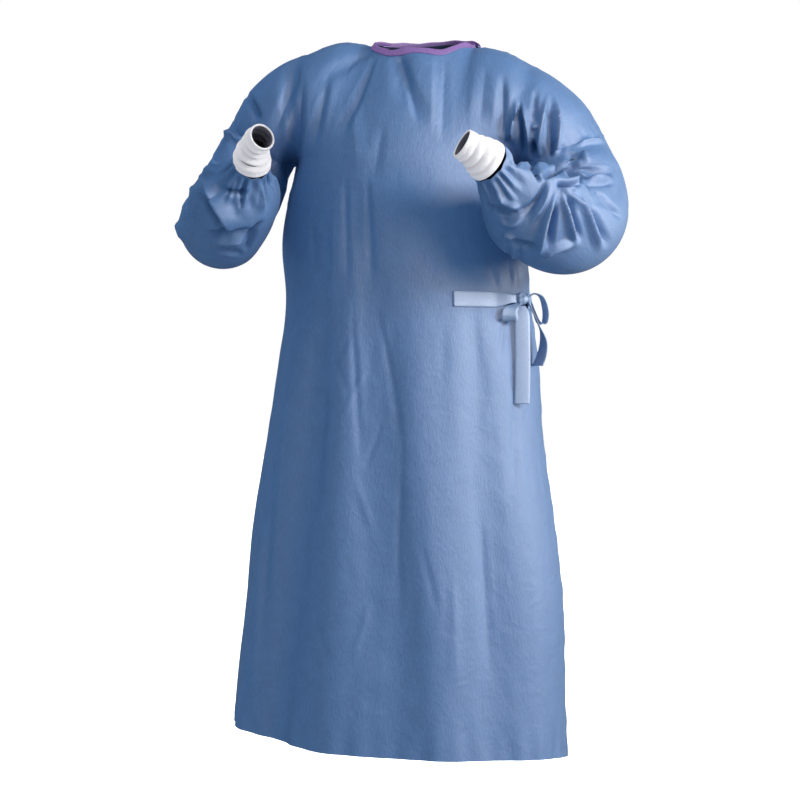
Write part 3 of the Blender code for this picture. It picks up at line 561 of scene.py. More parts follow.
def sleeve_surface(arm):
    """Rings of points from the armhole seam to the gathered wrist seam."""
    at, elbow_side, stops = arm_path(arm)
    start, direction = at(0.0)
    across = unit(np.array(arm.outer) - np.array(arm.armpit))
    across = unit(across - direction * np.dot(across, direction))
    forward_sign = np.sign(np.dot(np.cross(direction, across), np.array([0.0, -1.0, 0.0])))
    rows = []
    for j in range(SLEEVE_ROWS + 1):
        s = j / SLEEVE_ROWS
        centre, heading = at(s)
        across = unit(across - heading * np.dot(across, heading))
        forward = np.cross(heading, across) * forward_sign
        radius = mix(arm.elbow, arm.forearm, smoothstep(s, stops[1], FOREARM_FULL))
        gather = smoothstep(s, arm.gather_from, 1.0) ** GATHER_CURVE
        radius = mix(radius, GATHERED_RADIUS[arm.side], gather)
        sag = arm.sag * smoothstep(s, SAG_FROM, SAG_FULL) * (1.0 - smoothstep(s, SAG_END, 1.0))
        top_drop = arm.top_drop * smoothstep(s, DROP_FROM, DROP_FULL)
        top_drop *= 1.0 - smoothstep(s, DROP_END, 1.0)
        seam_share = 1.0 - smoothstep(s, 0.0, stops[0])
        bend_share = smoothstep(s, BEND_FROM, BEND_FULL) * (1.0 - smoothstep(s, BEND_FADE, BEND_END))
        row = []
        for i in range(SLEEVE_COLUMNS):
            share = i / SLEEVE_COLUMNS
            turn = 2.0 * math.pi * share
            ray = -across * math.cos(turn) + forward * math.sin(turn)
            inner_side = smoothstep(np.dot(ray, -elbow_side), 0.1, 0.9)
            crease = math.sin(2.0 * math.pi * ELBOW_CREASES * (s - BEND_FROM) / (BEND_END - BEND_FROM))
            ripple = (ELBOW_CREASE_DEPTH * crease - ELBOW_TUCK) * inner_side * bend_share
            pleat = PLEAT_DEPTH * math.cos(PLEATS * turn) * smoothstep(s, PLEATS_FROM, PLEATS_FULL)
            drop = sag * smoothstep(-ray[2], -0.2, 0.9) + top_drop * smoothstep(ray[2], -0.1, 0.9)
            point = centre + ray * (radius + ripple + pleat) - np.array([0.0, 0.0, drop])
            seam = armhole(arm, share) + (centre - start)
            row.append(mix(point, seam, seam_share))
        rows.append(row)
    return np.array(rows)


# Drape: the panels and sleeves are sewn into one sheet, which grows a little and settles round its held
# edges as stiff nonwoven does. Then its rows and columns are doubled twice, and the sheet is sewn again.
DOUBLINGS = 2
PER_ROW = 2**DOUBLINGS  # rows and columns of the finished cloth for each one that is draped
HELD_EDGE_ROWS = 2  # rows held at the neck, the wrists and the shoulder seams
HOLD_CHEST = 0.50
HOLD_SKIRT = 0.12
HOLD_SLEEVE = 0.08
SLACK_CHEST = 0.25  # share of the growth that each part gets
SLACK_SKIRT = 0.45
GROWTH = 0.022
SETTLE_FRAMES = 24
MOST_MOVE = 0.016
CHEST_FROM = 0.72  # share of the skirt's rows above which the cloth is held as on the chest, in the end
NONWOVEN_CLOTH = {
    "quality": 5,
    "mass": 0.08,
    "tension_stiffness": 30.0,
    "compression_stiffness": 30.0,
    "shear_stiffness": 12.0,
    "bending_stiffness": 1.2,
    "air_damping": 2.0,
    "vertex_group_mass": "held",
    "pin_stiffness": 1.0,
    "vertex_group_shrink": "slack",
    "shrink_min": 0.0,
    "shrink_max": -GROWTH,
}


def join_seams(front, back, sleeves):
    """Gives neighbours the very same points along their seams."""
    skirt = (front.shape[0] - 1) * SKIRT_ROWS // (SKIRT_ROWS + YOKE_ROWS)
    back[: skirt + 1, 0], back[: skirt + 1, -1] = front[: skirt + 1, -1], front[: skirt + 1, 0]
    last = (front.shape[1] - 1) * SHOULDER_COLUMNS // FRONT_COLUMNS + 1
    back[-1, :last] = front[-1, ::-1][:last]
    back[-1, -last:] = front[-1, ::-1][-last:]
    half = sleeves[0].shape[1] // 2
    for sleeve, front_column, back_column in zip(sleeves, (-1, 0), (0, -1)):
        sleeve[0, : half + 1] = front[skirt:, front_column]
        sleeve[0, half:] = back[:skirt:-1, back_column]


def grid_faces(rows, columns, ring):
    index = np.arange(rows * columns).reshape(rows, columns)
    after = np.roll(index, -1, axis=1) if ring else index[:, 1:]
    before = index if ring else index[:, :-1]
    return np.stack([before[:-1], after[:-1], after[1:], before[1:]], axis=-1).reshape(-1, 4)


def sew(grids):
    """All the grids as one sheet: its points, its faces, and each grid's place in it."""
    everything = np.concatenate([grid.reshape(-1, 3) for grid, _ in grids])
    _, first, places = np.unique(np.round(everything, 6), axis=0, return_index=True, return_inverse=True)
    places = places.reshape(-1)
    faces, keys, offset = [], [], 0
    for grid, ring in grids:
        rows, columns = grid.shape[:2]
        keys.append(places[offset : offset + rows * columns])
        faces.append(keys[-1][grid_faces(rows, columns, ring)])
        offset += rows * columns
    return everything[first], np.concatenate(faces), keys


def sheet_normals(points, faces):
    """Outward directions of a sheet, each face counted by its angle at the point."""
    total = np.zeros_like(points)
    for k in range(4):
        ahead = points[faces[:, (k + 1) % 4]] - points[faces[:, k]]
        behind = points[faces[:, k - 1]] - points[faces[:, k]]
        across = np.cross(ahead, behind)
        size = np.linalg.norm(across, axis=1)
        angle = np.arctan2(size, np.sum(ahead * behind, axis=1))
        np.add.at(total, faces[:, k], across / np.maximum(size, 1e-12)[:, None] * angle[:, None])
    return total / np.maximum(np.linalg.norm(total, axis=1), 1e-12)[:, None]


def settle(points, faces, hold, slack):
    """Blender's cloth, growing slightly where it is slack and held to its first shape by a share."""
    mesh = bpy.data.meshes.new("drape")
    mesh.from_pydata(points.tolist(), [], faces.tolist())
    sheet = add_to_scene("drape", mesh)
    for group_name, shares in (("held", hold), ("slack", slack)):
        group = sheet.vertex_groups.new(name=group_name)
        for share in np.unique(shares):
            group.add(np.flatnonzero(shares == share).tolist(), float(share), "REPLACE")
    cloth = sheet.modifiers.new("Cloth", "CLOTH")
    for setting, value in NONWOVEN_CLOTH.items():
        setattr(cloth.settings, setting, value)
    cloth.collision_settings.use_collision = False
    cloth.collision_settings.use_self_collision = False
    cloth.point_cache.frame_start = 1
    cloth.point_cache.frame_end = SETTLE_FRAMES
    for frame_number in range(1, SETTLE_FRAMES + 1):
        bpy.context.scene.frame_set(frame_number)
    evaluated = sheet.evaluated_get(bpy.context.evaluated_depsgraph_get())
    settled = np.empty(len(points) * 3, dtype=np.float32)
    evaluated.data.vertices.foreach_get("co", settled)
    bpy.context.scene.frame_set(1)
    bpy.data.objects.remove(sheet, do_unlink=True)
    move = settled.reshape(-1, 3).astype(float) - points
    size = np.linalg.norm(move, axis=1)[:, None]
    return points + move * MOST_MOVE * np.tanh(size / MOST_MOVE) / np.maximum(size, 1e-9)


def finer(grid, ring):
    """Twice as many rows and columns, on smooth curves through the points."""
    for axis in (0, 1):
        grid = np.moveaxis(grid, axis, 0)
        if ring and axis == 1:
            before, after = np.roll(grid, 1, axis=0), np.roll(grid, -1, axis=0)
            beyond = np.roll(grid, -2, axis=0)
            middles = (9.0 * (grid + after) - before - beyond) / 16.0
            made = np.empty((2 * len(grid), *grid.shape[1:]))
        else:
            padded = np.concatenate([2 * grid[:1] - grid[1:2], grid, 2 * grid[-1:] - grid[-2:-1]])
            middles = (9.0 * (padded[1:-2] + padded[2:-1]) - padded[:-3] - padded[3:]) / 16.0
            made = np.empty((2 * len(grid) - 1, *grid.shape[1:]))
        made[0::2] = grid
        made[1::2] = middles
        grid = np.moveaxis(made, 0, axis)
    return grid


def shares_of(grid, ring):
    """How firmly each point is held, wholly at the edges and shoulders, and how slack it is."""
    rows, columns = grid.shape[:2]
    row = np.arange(rows)[:, None] * np.ones(columns)
    chest = np.clip((row / SKIRT_ROWS - CHEST_FROM) / (1.0 - CHEST_FROM), 0.0, 1.0)
    hold = np.full((rows, columns), HOLD_SLEEVE) if ring else mix(HOLD_SKIRT, HOLD_CHEST, chest)
    slack = np.ones((rows, columns)) if ring else mix(SLACK_SKIRT, SLACK_CHEST, chest)
    hold[-HELD_EDGE_ROWS:] = 1.0
    return np.round(hold, 2), np.round(slack, 2)


def turned(rings):
    """The same rings with their points the other way round, from the same first point."""
    columns = rings.shape[1]
    return rings[:, (-np.arange(columns)) % columns]


front, back = front_surface(), back_surface()
left_sleeve, right_sleeve = sleeve_surface(LEFT_ARM), sleeve_surface(RIGHT_ARM)
join_seams(front, back, (left_sleeve, right_sleeve))
# The left sleeve's points are turned round so that it faces outward like the rest
grids = [(front, False), (back, False), (turned(left_sleeve), True), (right_sleeve, True)]
points, faces, keys = sew(grids)
hold, slack = np.zeros(len(points)), np.ones(len(points))
for key, (grid, ring) in zip(keys, grids):
    held_here, slack_here = shares_of(grid, ring)
    hold[key] = np.maximum(hold[key], held_here.reshape(-1))
    slack[key] = np.minimum(slack[key], slack_here.reshape(-1))
points = settle(points, faces, hold, slack)
shapes = [points[key].reshape(grid.shape) for key, (grid, _) in zip(keys, grids)]
for _ in range(DOUBLINGS):
    shapes = [finer(shape, ring) for shape, (_, ring) in zip(shapes, grids)]
shapes[2] = turned(shapes[2])
join_seams(shapes[0], shapes[1], (shapes[2], shapes[3]))
shapes[2] = turned(shapes[2])
grids = [(shape, ring) for shape, (_, ring) in zip(shapes, grids)]
points, faces, keys = sew(grids)

# Creases: the sheet is stiff, so it breaks into straight folds that run out from the inside of each elbow,
# from the armpits and from the knot. Each is one line across the camera's picture. Its
# height in mm falls off over the pixels named before and after: left and right of a line drawn down the
# picture, below and above one drawn to the right. Bow is how far its middle swings to the after side, and
# lead is the share of its width that it starts with.
Crease = namedtuple("Crease", "x0 y0 x1 y1 bow before after height lead")
LEFT_SLEEVE_CREASES = table(
    Crease,
    (517, 96, 511, 154, 0, 10, 7, 6.0, 0.3),
    (520, 102, 524, 162, 0, 5, 4, -6.0, 0.5),
    (521, 99, 531, 154, 0, 3, 6, 5.0, 0.5),
    (536, 88, 535, 126, 0, 5, 4, -5.0, 0.5),
    (529, 128, 539, 125, 0, 5, 4, 3.0, 1.0),
    (550, 90, 538, 157, -3, 5, 4, 5.5, 0.4),
    (551, 90, 549, 167, 8, 4, 7, 5.5, 0.4),
    (550, 97, 549, 160, 1, 6, 6, -6.0, 0.4),
    (555, 138, 548, 168, 0, 4, 4, -4.0, 1.0),
    (533, 138, 533, 171, 0, 6, 6, -11.0, 0.6),
    (541, 177, 564, 166, 0, 5, 5, -13.0, 1.0),
    (532, 164, 541, 183, 0, 4, 4, -5.0, 1.0),
    (607, 143, 575, 145, -3, 5, 5, 4.0, 0.6),
    (564, 157, 583, 155, 0, 6, 5, -5.5, 1.0),
    (545, 175, 580, 158, 1, 4, 3, -5.0, 0.6),
    (583, 150, 588, 163, 0, 4, 4, 3.0, 1.0),
    (562, 175, 615, 173, 0, 4, 8, -7.0, 0.8),
    (564, 180, 616, 179, 0, 5, 4, 6.0, 0.8),
    (582, 184, 615, 183, 0, 4, 3, -4.0, 0.8),
    (555, 184, 582, 183, 0, 5, 4, -13.0, 1.0),
    (558, 188, 578, 188, 0, 5, 3, 4.0, 1.0),
    (594, 189, 624, 221, 1, 5, 4, -5.0, 0.8),
    (558, 189, 538, 262, -3, 9, 6, 7.5, 0.4),
    (557, 200, 547, 252, 0, 5, 7, -7.5, 0.5),
    (536, 260, 580, 242, 4, 8, 6, 6.0, 0.8),
    (561, 189, 578, 250, -1.5, 6, 7, 6.5, 0.4),
    (567, 195, 580, 243, 0, 5, 7, -7.5, 0.5),
    (579, 193, 602, 254, 0, 9, 6, 6.5, 0.4),
    (590, 202, 608, 250, 0, 5, 8, -6.0, 0.6),
    (561, 188, 587, 208, 0, 7, 4, 5.0, 0.5),
    (508, 239, 541, 247, -1, 7, 4, -6.0, 0.8),
    (546, 177, 519, 221, 5, 6, 4, -6.0, 0.6),
    (550, 181, 527, 224, 5, 4, 6, 4.5, 0.6),
    (498, 214, 542, 190, -8, 5, 4, -4.5, 0.8),
    (495, 193, 523, 211, -2, 6, 5, 4.5, 0.7),
    (483, 203, 511, 214, 0, 5, 4, -4.5, 0.7),
    (498, 220, 523, 219, -5, 6, 4, 4.0, 0.8),
    (502, 233, 516, 240, 0, 5, 4, 3.5, 0.8),
    (510, 157, 520, 167, 0, 4, 4, -5.0, 1.0),
)
RIGHT_SLEEVE_CREASES = table(
    Crease,
    (246, 92, 260, 122, 2, 10, 5, -7.0, 0.5),
    (222, 129, 246, 148, 0, 8, 8, 5.0, 0.6),
    (224, 152, 240, 154, 0, 5, 4, -4.5, 1.0),
    (198, 169, 215, 156, 0, 6, 5, -5.5, 0.8),
    (199, 177, 218, 154, -5, 5, 4, 5.0, 0.8),
    (200, 175, 235, 238, 0, 6, 18, 8.0, 0.5),
    (195, 186, 229, 240, 0, 6, 5, -6.5, 0.6),
    (219, 187, 252, 192, -2, 6, 4, -5.5, 0.8),
    (198, 182, 195, 218, 0, 5, 5, 5.0, 0.7),
    (186, 204, 194, 238, 0, 5, 5, 4.5, 0.7),
    (177, 219, 186, 243, 0, 5, 5, 4.0, 0.7),
    (202, 234, 256, 230, 0, 6, 4, -6.5, 0.8),
    (204, 241, 252, 239, 0, 9, 5, 5.0, 0.8),
    (265, 219, 238, 249, 0, 5, 4, -5.5, 0.8),
    (257, 229, 244, 254, 0, 5, 4, -4.5, 0.8),
    (238, 176, 226, 206, 0, 4, 5, 3.5, 0.5),
    (246, 180, 240, 212, 0, 4, 4, -4.0, 0.5),
    (262, 178, 262, 214, 0, 5, 4, 4.0, 0.5),
    (215, 250, 246, 254, 0, 5, 5, -4.0, 0.8),
)
CHEST_CREASES = table(
    Crease,
    (378, 50, 338, 142, 2, 14, 7, -5.0, 0.3),
    (397, 48, 420, 128, 0, 6, 17, -5.0, 0.3),
    (432, 52, 431, 140, 0, 18, 13, 3.0, 0.4),
    (445, 54, 441, 150, 0, 5, 12, -2.2, 0.5),
    (330, 72, 312, 152, 0, 13, 9, -4.5, 0.4),
    (302, 56, 270, 142, 2, 13, 11, -6.0, 0.4),
    (303, 70, 286, 196, 2, 14, 13, -8.0, 0.4),
    (503, 70, 502, 144, 1, 14, 10, -6.5, 0.4),
    (486, 60, 480, 130, 0, 15, 14, -2.5, 0.5),
    (352, 84, 358, 176, 0, 18, 16, 2.2, 0.5),
    (384, 120, 372, 188, 0, 14, 12, -2.0, 0.5),
)
SKIRT_CREASES = table(
    Crease,
    (334, 166, 331, 420, 0, 13, 12, 1.4, 0.5),
    (345, 166, 347, 300, 0, 9, 8, -3.0, 0.5),
    (367, 166, 372, 292, 0, 9, 8, -3.0, 0.5),
    (351, 296, 361, 470, 0, 8, 7, -2.4, 0.6),
    (374, 296, 405, 480, 4, 9, 7, -2.0, 0.5),
    (403, 430, 401, 630, -2, 9, 7, -2.0, 0.6),
    (402, 516, 402, 580, 0, 3, 3, 1.2, 1.0),
    (328, 380, 314, 530, 0, 11, 9, -2.6, 0.6),
    (480, 500, 491, 690, 0, 12, 10, -2.8, 0.5),
    (515, 390, 514, 500, 0, 11, 9, -3.0, 0.6),
    (452, 560, 458, 710, 0, 13, 12, 2.0, 0.5),
    (278, 400, 262, 640, 0, 12, 9, -3.5, 0.5),
    (352, 330, 330, 372, 0, 5, 6, -1.6, 0.6),
    (368, 366, 340, 420, 0, 6, 6, 1.5, 0.6),
    (330, 350, 352, 402, 0, 5, 5, -1.3, 0.6),
    (384, 420, 362, 476, 0, 6, 5, -1.5, 0.6),
    (352, 470, 376, 540, 0, 7, 6, 1.5, 0.6),
    (420, 540, 440, 620, 0, 8, 6, -1.5, 0.6),
    (372, 600, 350, 668, 0, 8, 7, 1.5, 0.6),
    (310, 600, 330, 672, 0, 6, 7, -1.5, 0.6),
    (262, 480, 252, 720, 0, 9, 9, 3.5, 0.5),
    (512, 290, 507, 240, 0, 3, 4, -4.0, 1.0),
    (521, 290, 519, 236, 0, 4, 4, -4.0, 1.0),
    (501, 291, 486, 256, 0, 4, 4, -3.0, 1.0),
    (516, 292, 512, 238, 0, 3, 3, 3.0, 1.0),
    (524, 308, 527, 372, 0, 4, 4, -3.5, 0.8),
    (506, 306, 500, 362, 0, 5, 5, -3.0, 0.8),
)
# Seen in the same way from straight behind, where nothing is pictured
BACK_CREASES = table(
    Crease,
    (262, 150, 300, 112, 2, 7, 6, -5.0, 0.5),
    (270, 190, 330, 150, 3, 8, 7, 4.0, 0.5),
    (286, 236, 360, 214, 3, 8, 7, -4.0, 0.5),
    (525, 170, 470, 128, -3, 7, 6, -5.0, 0.5),
    (520, 205, 452, 172, -3, 8, 7, 4.0, 0.5),
    (516, 246, 440, 226, -2, 8, 7, -4.0, 0.5),
    (330, 70, 352, 140, 0, 8, 7, -4.0, 0.5),
    (470, 74, 456, 146, 0, 8, 7, -4.0, 0.5),
    (396, 80, 402, 190, 2, 10, 9, 3.0, 0.5),
    (282, 300, 268, 362, 0, 6, 6, -4.5, 0.6),
    (300, 308, 296, 410, 0, 8, 7, 4.0, 0.5),
    (344, 306, 340, 470, 0, 9, 8, -4.5, 0.5),
    (378, 318, 384, 520, 0, 10, 9, 4.5, 0.6),
    (420, 310, 428, 560, 0, 9, 8, -4.5, 0.5),
    (462, 306, 474, 470, 0, 9, 8, 4.0, 0.5),
    (498, 304, 512, 420, 0, 7, 7, -4.5, 0.5),
    (352, 540, 346, 720, 0, 10, 9, 4.0, 0.6),
    (468, 560, 480, 730, 0, 10, 9, 4.0, 0.6),
    (300, 560, 290, 700, 0, 10, 9, -4.0, 0.6),
    (312, 286, 340, 262, 2, 7, 6, -3.5, 0.6),
    (486, 284, 452, 258, -2, 7, 6, -3.5, 0.6),
)
SEEN_IN_FRONT = (  # each table, and how strongly its creases come out
    (LEFT_SLEEVE_CREASES, 2.2),
    (RIGHT_SLEEVE_CREASES, 2.3),
    (CHEST_CREASES, 1.4),
    (SKIRT_CREASES, 1.2),
)
BACK_STRENGTH = 1.3
BEHIND_SHARE = 0.8  # how strongly the sleeves' creases come through on their hidden side
BEHIND_SHIFT = (-6.0, 5.0)
CREASE_SHARPNESS = 1.3
CREASE_FADE = 0.34  # share of its length over which each end of a crease fades
MASK_CELL = 5.0  # pixels across a cell, in which the nearest cloth hides what lies far behind it
FACING = (-0.30, 0.05)  # how far cloth must face the picture to be creased, from not at all to wholly
ARM_DEPTH = (0.035, 0.070)  # how far behind the nearest cloth it is still creased, and no longer
MASK_ROUNDS = 6
WRIST_PLEATS = 15
WRIST_PLEAT_HEIGHT = 0.0032
WRIST_PLEATS_FROM = (0.87, 0.97)
WRIST_SEAM_FROM = 0.97  # from here the pleats are sewn flat over the cuff, by this share
SEWN_FLAT = 0.92
SEAM_STANDS = 0.04  # how far the seam stands out, as a share of the pleats' height
CREASES_END = (0.93, 0.99)  # where along a sleeve its creases fade out at the cuff
SEAM_DIP = 0.0004
PUCKER = 0.0011
PUCKER_ROWS = 6
PUCKER_LENGTHS = (5.3, 8.9)  # in rows of points


def steps(value, low, high):
    """As smoothstep, for a whole array."""
    share = np.clip((value - low) / (high - low), 0.0, 1.0)
    return share * share * (3.0 - 2.0 * share)


def pictured(points, across, toward):
    """Where each point falls in a picture taken from that side, and how near it is."""
    rel = points - aim
    near = rel @ toward
    scale = CAMERA_DISTANCE / (CAMERA_DISTANCE - near) / PIXEL
    return 0.5 * PICTURE + (rel @ across) * scale, 0.5 * PICTURE - rel[:, 2] * scale, near


def in_sight(points, normals, faces, across, toward):
    """1 where the cloth faces that side with nothing in front of it, smoothed along the sheet."""
    x, y, near = pictured(points, across, toward)
    column = np.clip((x / MASK_CELL).astype(int) + 1, 1, int(PICTURE / MASK_CELL))
    row = np.clip((y / MASK_CELL).astype(int) + 1, 1, int(PICTURE / MASK_CELL))
    front = np.full((int(PICTURE / MASK_CELL) + 2,) * 2, -9.0)
    np.maximum.at(front, (row, column), near)
    front = np.max([np.roll(front, (a, b), (0, 1)) for a in (-1, 0, 1) for b in (-1, 0, 1)], axis=0)
    facing = np.clip(normals @ toward, 0.05, 1.0)
    allowed = 1.5 * MASK_CELL * PIXEL * np.sqrt(1.0 - facing**2) / facing
    hidden = steps(front[row, column] - near - allowed, *ARM_DEPTH)
    mask = (1.0 - hidden) * steps(normals @ toward, *FACING)
    for _ in range(MASK_ROUNDS):
        total, count = np.zeros(len(points)), np.zeros(len(points))
        for k in range(4):
            np.add.at(total, faces[:, k], mask[faces].mean(axis=1))
            np.add.at(count, faces[:, k], 1.0)
        mask = total / np.maximum(count, 1.0)
    return mask


def crease_height(x, y, row):
    dx, dy = row.x1 - row.x0, row.y1 - row.y0
    length = math.hypot(dx, dy)
    t = ((x - row.x0) * dx + (y - row.y0) * dy) / length**2
    inside = np.clip(t, 0.0, 1.0)
    v = ((x - row.x0) * dy - (y - row.y0) * dx) / length - 4.0 * row.bow * inside * (1.0 - inside)
    width = np.where(v < 0.0, row.before, row.after) * mix(row.lead, 1.0, inside)
    profile = np.clip(1.0 - np.abs(v) / width, 0.0, 1.0) ** CREASE_SHARPNESS
    ends = steps(t, 0.0, CREASE_FADE) * (1.0 - steps(t, 1.0 - CREASE_FADE, 1.0))
    return 0.001 * row.height * profile * ends


def crease(points, normals, faces, creases, toward_side, share, shift=(0.0, 0.0), mirrored=False):
    """How far a table of creases lifts each point, on the side that is looked at."""
    across = -picture_across if mirrored else picture_across
    toward = to_camera * toward_side
    mask = in_sight(points, normals, faces, across, toward)
    x, y, _ = pictured(points, across, toward)
    return share * mask * sum(crease_height(x - shift[0], y - shift[1], row) for row in creases)


def wrist_pleats(shape):
    """The sleeve's end is drawn up into pleats of uneven width."""
    rows, columns = shape.shape[:2]
    turn = 2.0 * math.pi * np.arange(columns) / columns
    wave = np.cos(WRIST_PLEATS * turn + 1.1 * np.sin(3.0 * turn) + 0.7 * np.sin(5.0 * turn + 1.0))
    along = np.arange(rows)[:, None] / (rows - 1)
    seam = steps(along, WRIST_SEAM_FROM, 1.0)
    pleats = wave * steps(along, *WRIST_PLEATS_FROM) * (1.0 - SEWN_FLAT * seam)
    return WRIST_PLEAT_HEIGHT * (pleats + SEAM_STANDS * seam)


def seam_dips(shape, ring, shoulder_here):
    """Seams lie a little in, and the cloth puckers beside them."""
    rows, columns = shape.shape[:2]
    row, column = np.mgrid[:rows, :columns].astype(float)
    if ring:
        away, along = row, column
    else:
        from_side = np.minimum(column, columns - 1 - column)
        from_top = np.where(from_side <= shoulder_here, rows - 1 - row, 99.0)
        away = np.minimum(from_side, from_top)
        along = np.where(from_side < from_top, row, column)
    beside = steps(away, 0.0, 2.0) * (1.0 - steps(away, 2.0, PUCKER_ROWS))
    wave = sum(np.sin(2.0 * math.pi * along / length + length) for length in PUCKER_LENGTHS)
    return 0.5 * PUCKER * beside * wave - SEAM_DIP * np.exp(-((away / 0.9) ** 2))


normals = sheet_normals(points, faces)
lift = np.zeros(len(points))
for creases, strength in SEEN_IN_FRONT:
    lift += crease(points, normals, faces, creases, 1.0, strength)
both_sleeves = LEFT_SLEEVE_CREASES + RIGHT_SLEEVE_CREASES
lift += crease(points, normals, faces, both_sleeves, -1.0, BEHIND_SHARE, BEHIND_SHIFT)
lift += crease(points, normals, faces, BACK_CREASES, -1.0, BACK_STRENGTH, mirrored=True)
dips = np.zeros(len(points))
for key, (shape, ring) in zip(keys, grids):
    dips[key] = seam_dips(shape, ring, PER_ROW * SHOULDER_COLUMNS).reshape(-1)
    if ring:
        dips[key] += wrist_pleats(shape).reshape(-1)
        # At the cuff seam the knit holds the cloth even
        row_share = np.arange(len(shape))[:, None] / (len(shape) - 1.0) + np.zeros(shape.shape[:2])
        lift[key] *= 1.0 - steps(row_share.reshape(-1), *CREASES_END)
points = points + normals * (lift + dips)[:, None]
normals = sheet_normals(points, faces)
front, back, left_sleeve, right_sleeve = [
    points[key].reshape(grid.shape) for key, (grid, _) in zip(keys, grids)
]
front_out, back_out = [normals[key].reshape(grid.shape) for key, (grid, _) in zip(keys[:2], grids[:2])]

# Cloth: three layers of blue polypropylene, spun, blown and spun again, and bonded by fine embossed points.
# It has a mottled grain of short fibres, crumples a little all over, and shines whitish against the light.
# The panels are cut from it, and each is a thin sheet on the surface worked out above.
SHEET = 0.0009
CLOTH_DARK = (0.009, 0.094, 0.275, 1.0)
CLOTH_LIGHT = (0.026, 0.145, 0.375, 1.0)
# Painted shade: the cloth's inner side is drawn dark blue, as it lies in shadow; the cloth itself is the
# same blue on both sides
CLOTH_INSIDE_PAINTED_SHADE = (0.010, 0.026, 0.050, 1.0)
CLOTH_SEED = {"front": 1.0, "back_left": 2.0, "back_right": 3.0, "sleeve_left": 4.0, "sleeve_right": 5.0}
STREAK_SCALE = (270.0, 105.0, 1.0)  # fibres' streaks in each metre, across and along
STREAK_TURN = math.radians(-24.0)
GRAIN_SCALE = 620.0
BLOTCH_SCALE = 34.0
CRUMPLE_SCALE = 26.0
BOND_PITCH = 0.0016
LEAST_SLEEVE = 0.42  # the sleeve's cut is no narrower than this where it is gathered
HEM_WAVE = 0.0009
EDGE_WAVE = 0.0012
EDGE_DOWN = 0.58  # the outer back's free edge lies this much closer to the inner back than the rest


class Value:
    """A shader's socket, so that sums on values add Math nodes."""

    def __init__(self, tree, socket):
        self.tree = tree
        self.socket = socket

    def maths(self, operation, first, second):
        node = self.tree.nodes.new("ShaderNodeMath")
        node.operation = operation
        for place, item in enumerate((first, second)):
            if isinstance(item, Value):
                self.tree.links.new(item.socket, node.inputs[place])
            else:
                node.inputs[place].default_value = item
        return Value(self.tree, node.outputs[0])

    def __add__(self, other):
        return self.maths("ADD", self, other)

    def __radd__(self, other):
        return self.maths("ADD", other, self)

    def __sub__(self, other):
        return self.maths("SUBTRACT", self, other)

    def __rsub__(self, other):
        return self.maths("SUBTRACT", other, self)

    def __mul__(self, other):
        return self.maths("MULTIPLY", self, other)

    def __rmul__(self, other):
        return self.maths("MULTIPLY", other, self)

    def __pow__(self, other):
        return self.maths("POWER", self, other)

    def __abs__(self):
        return self.maths("ABSOLUTE", self, 0.0)


class Finish:
    """A material while it is made: its shader, and any node that its values come from."""

    def __init__(self, name, **constants):
        self.material = bpy.data.materials.new(name)
        self.material.use_nodes = True
        self.tree = self.material.node_tree
        self.shader = self.tree.nodes["Principled BSDF"]
        for socket, value in constants.items():
            self.shader.inputs[socket.replace("_", " ")].default_value = value

    def node(self, kind, settings=None, inputs=None, output=0):
        made = self.tree.nodes.new(kind)
        for key, value in (settings or {}).items():
            setattr(made, key, value)
        for socket, value in (inputs or {}).items():
            if isinstance(value, Value):
                self.tree.links.new(value.socket, made.inputs[socket])
            else:
                made.inputs[socket].default_value = value
        return Value(self.tree, made.outputs[output])

    def noise(self, vector, scale, detail=2.0, roughness=0.5, distortion=0.0):
        values = {"Vector": vector, "Scale": scale, "Detail": detail, "Roughness": roughness}
        values["Distortion"] = distortion
        return self.node("ShaderNodeTexNoise", {"noise_dimensions": "3D"}, values)

    def moved(self, vector, place=(0.0, 0.0, 0.0), turn=0.0, scale=(1.0, 1.0, 1.0)):
        values = {"Vector": vector, "Location": place, "Rotation": (0.0, 0.0, turn), "Scale": scale}
        return self.node("ShaderNodeMapping", {}, values)

    def blend(self, share, first, second):
        """A colour between two."""
        values = {"Factor": share, "A": first, "B": second}
        made = self.tree.nodes.new("ShaderNodeMix")
        made.data_type = "RGBA"
        chosen = {s.name: s for s in made.inputs if s.enabled}
        for socket, value in values.items():
            if isinstance(value, Value):
                self.tree.links.new(value.socket, chosen[socket])
            else:
                chosen[socket].default_value = value
        return Value(self.tree, next(s for s in made.outputs if s.enabled))

    def drive(self, **values):
        for socket, value in values.items():
            self.tree.links.new(value.socket, self.shader.inputs[socket.replace("_", " ")])

    def bump(self, height, distance, strength=1.0):
        values = {"Height": height, "Distance": distance, "Strength": strength}
        self.drive(Normal=self.node("ShaderNodeBump", {}, values))


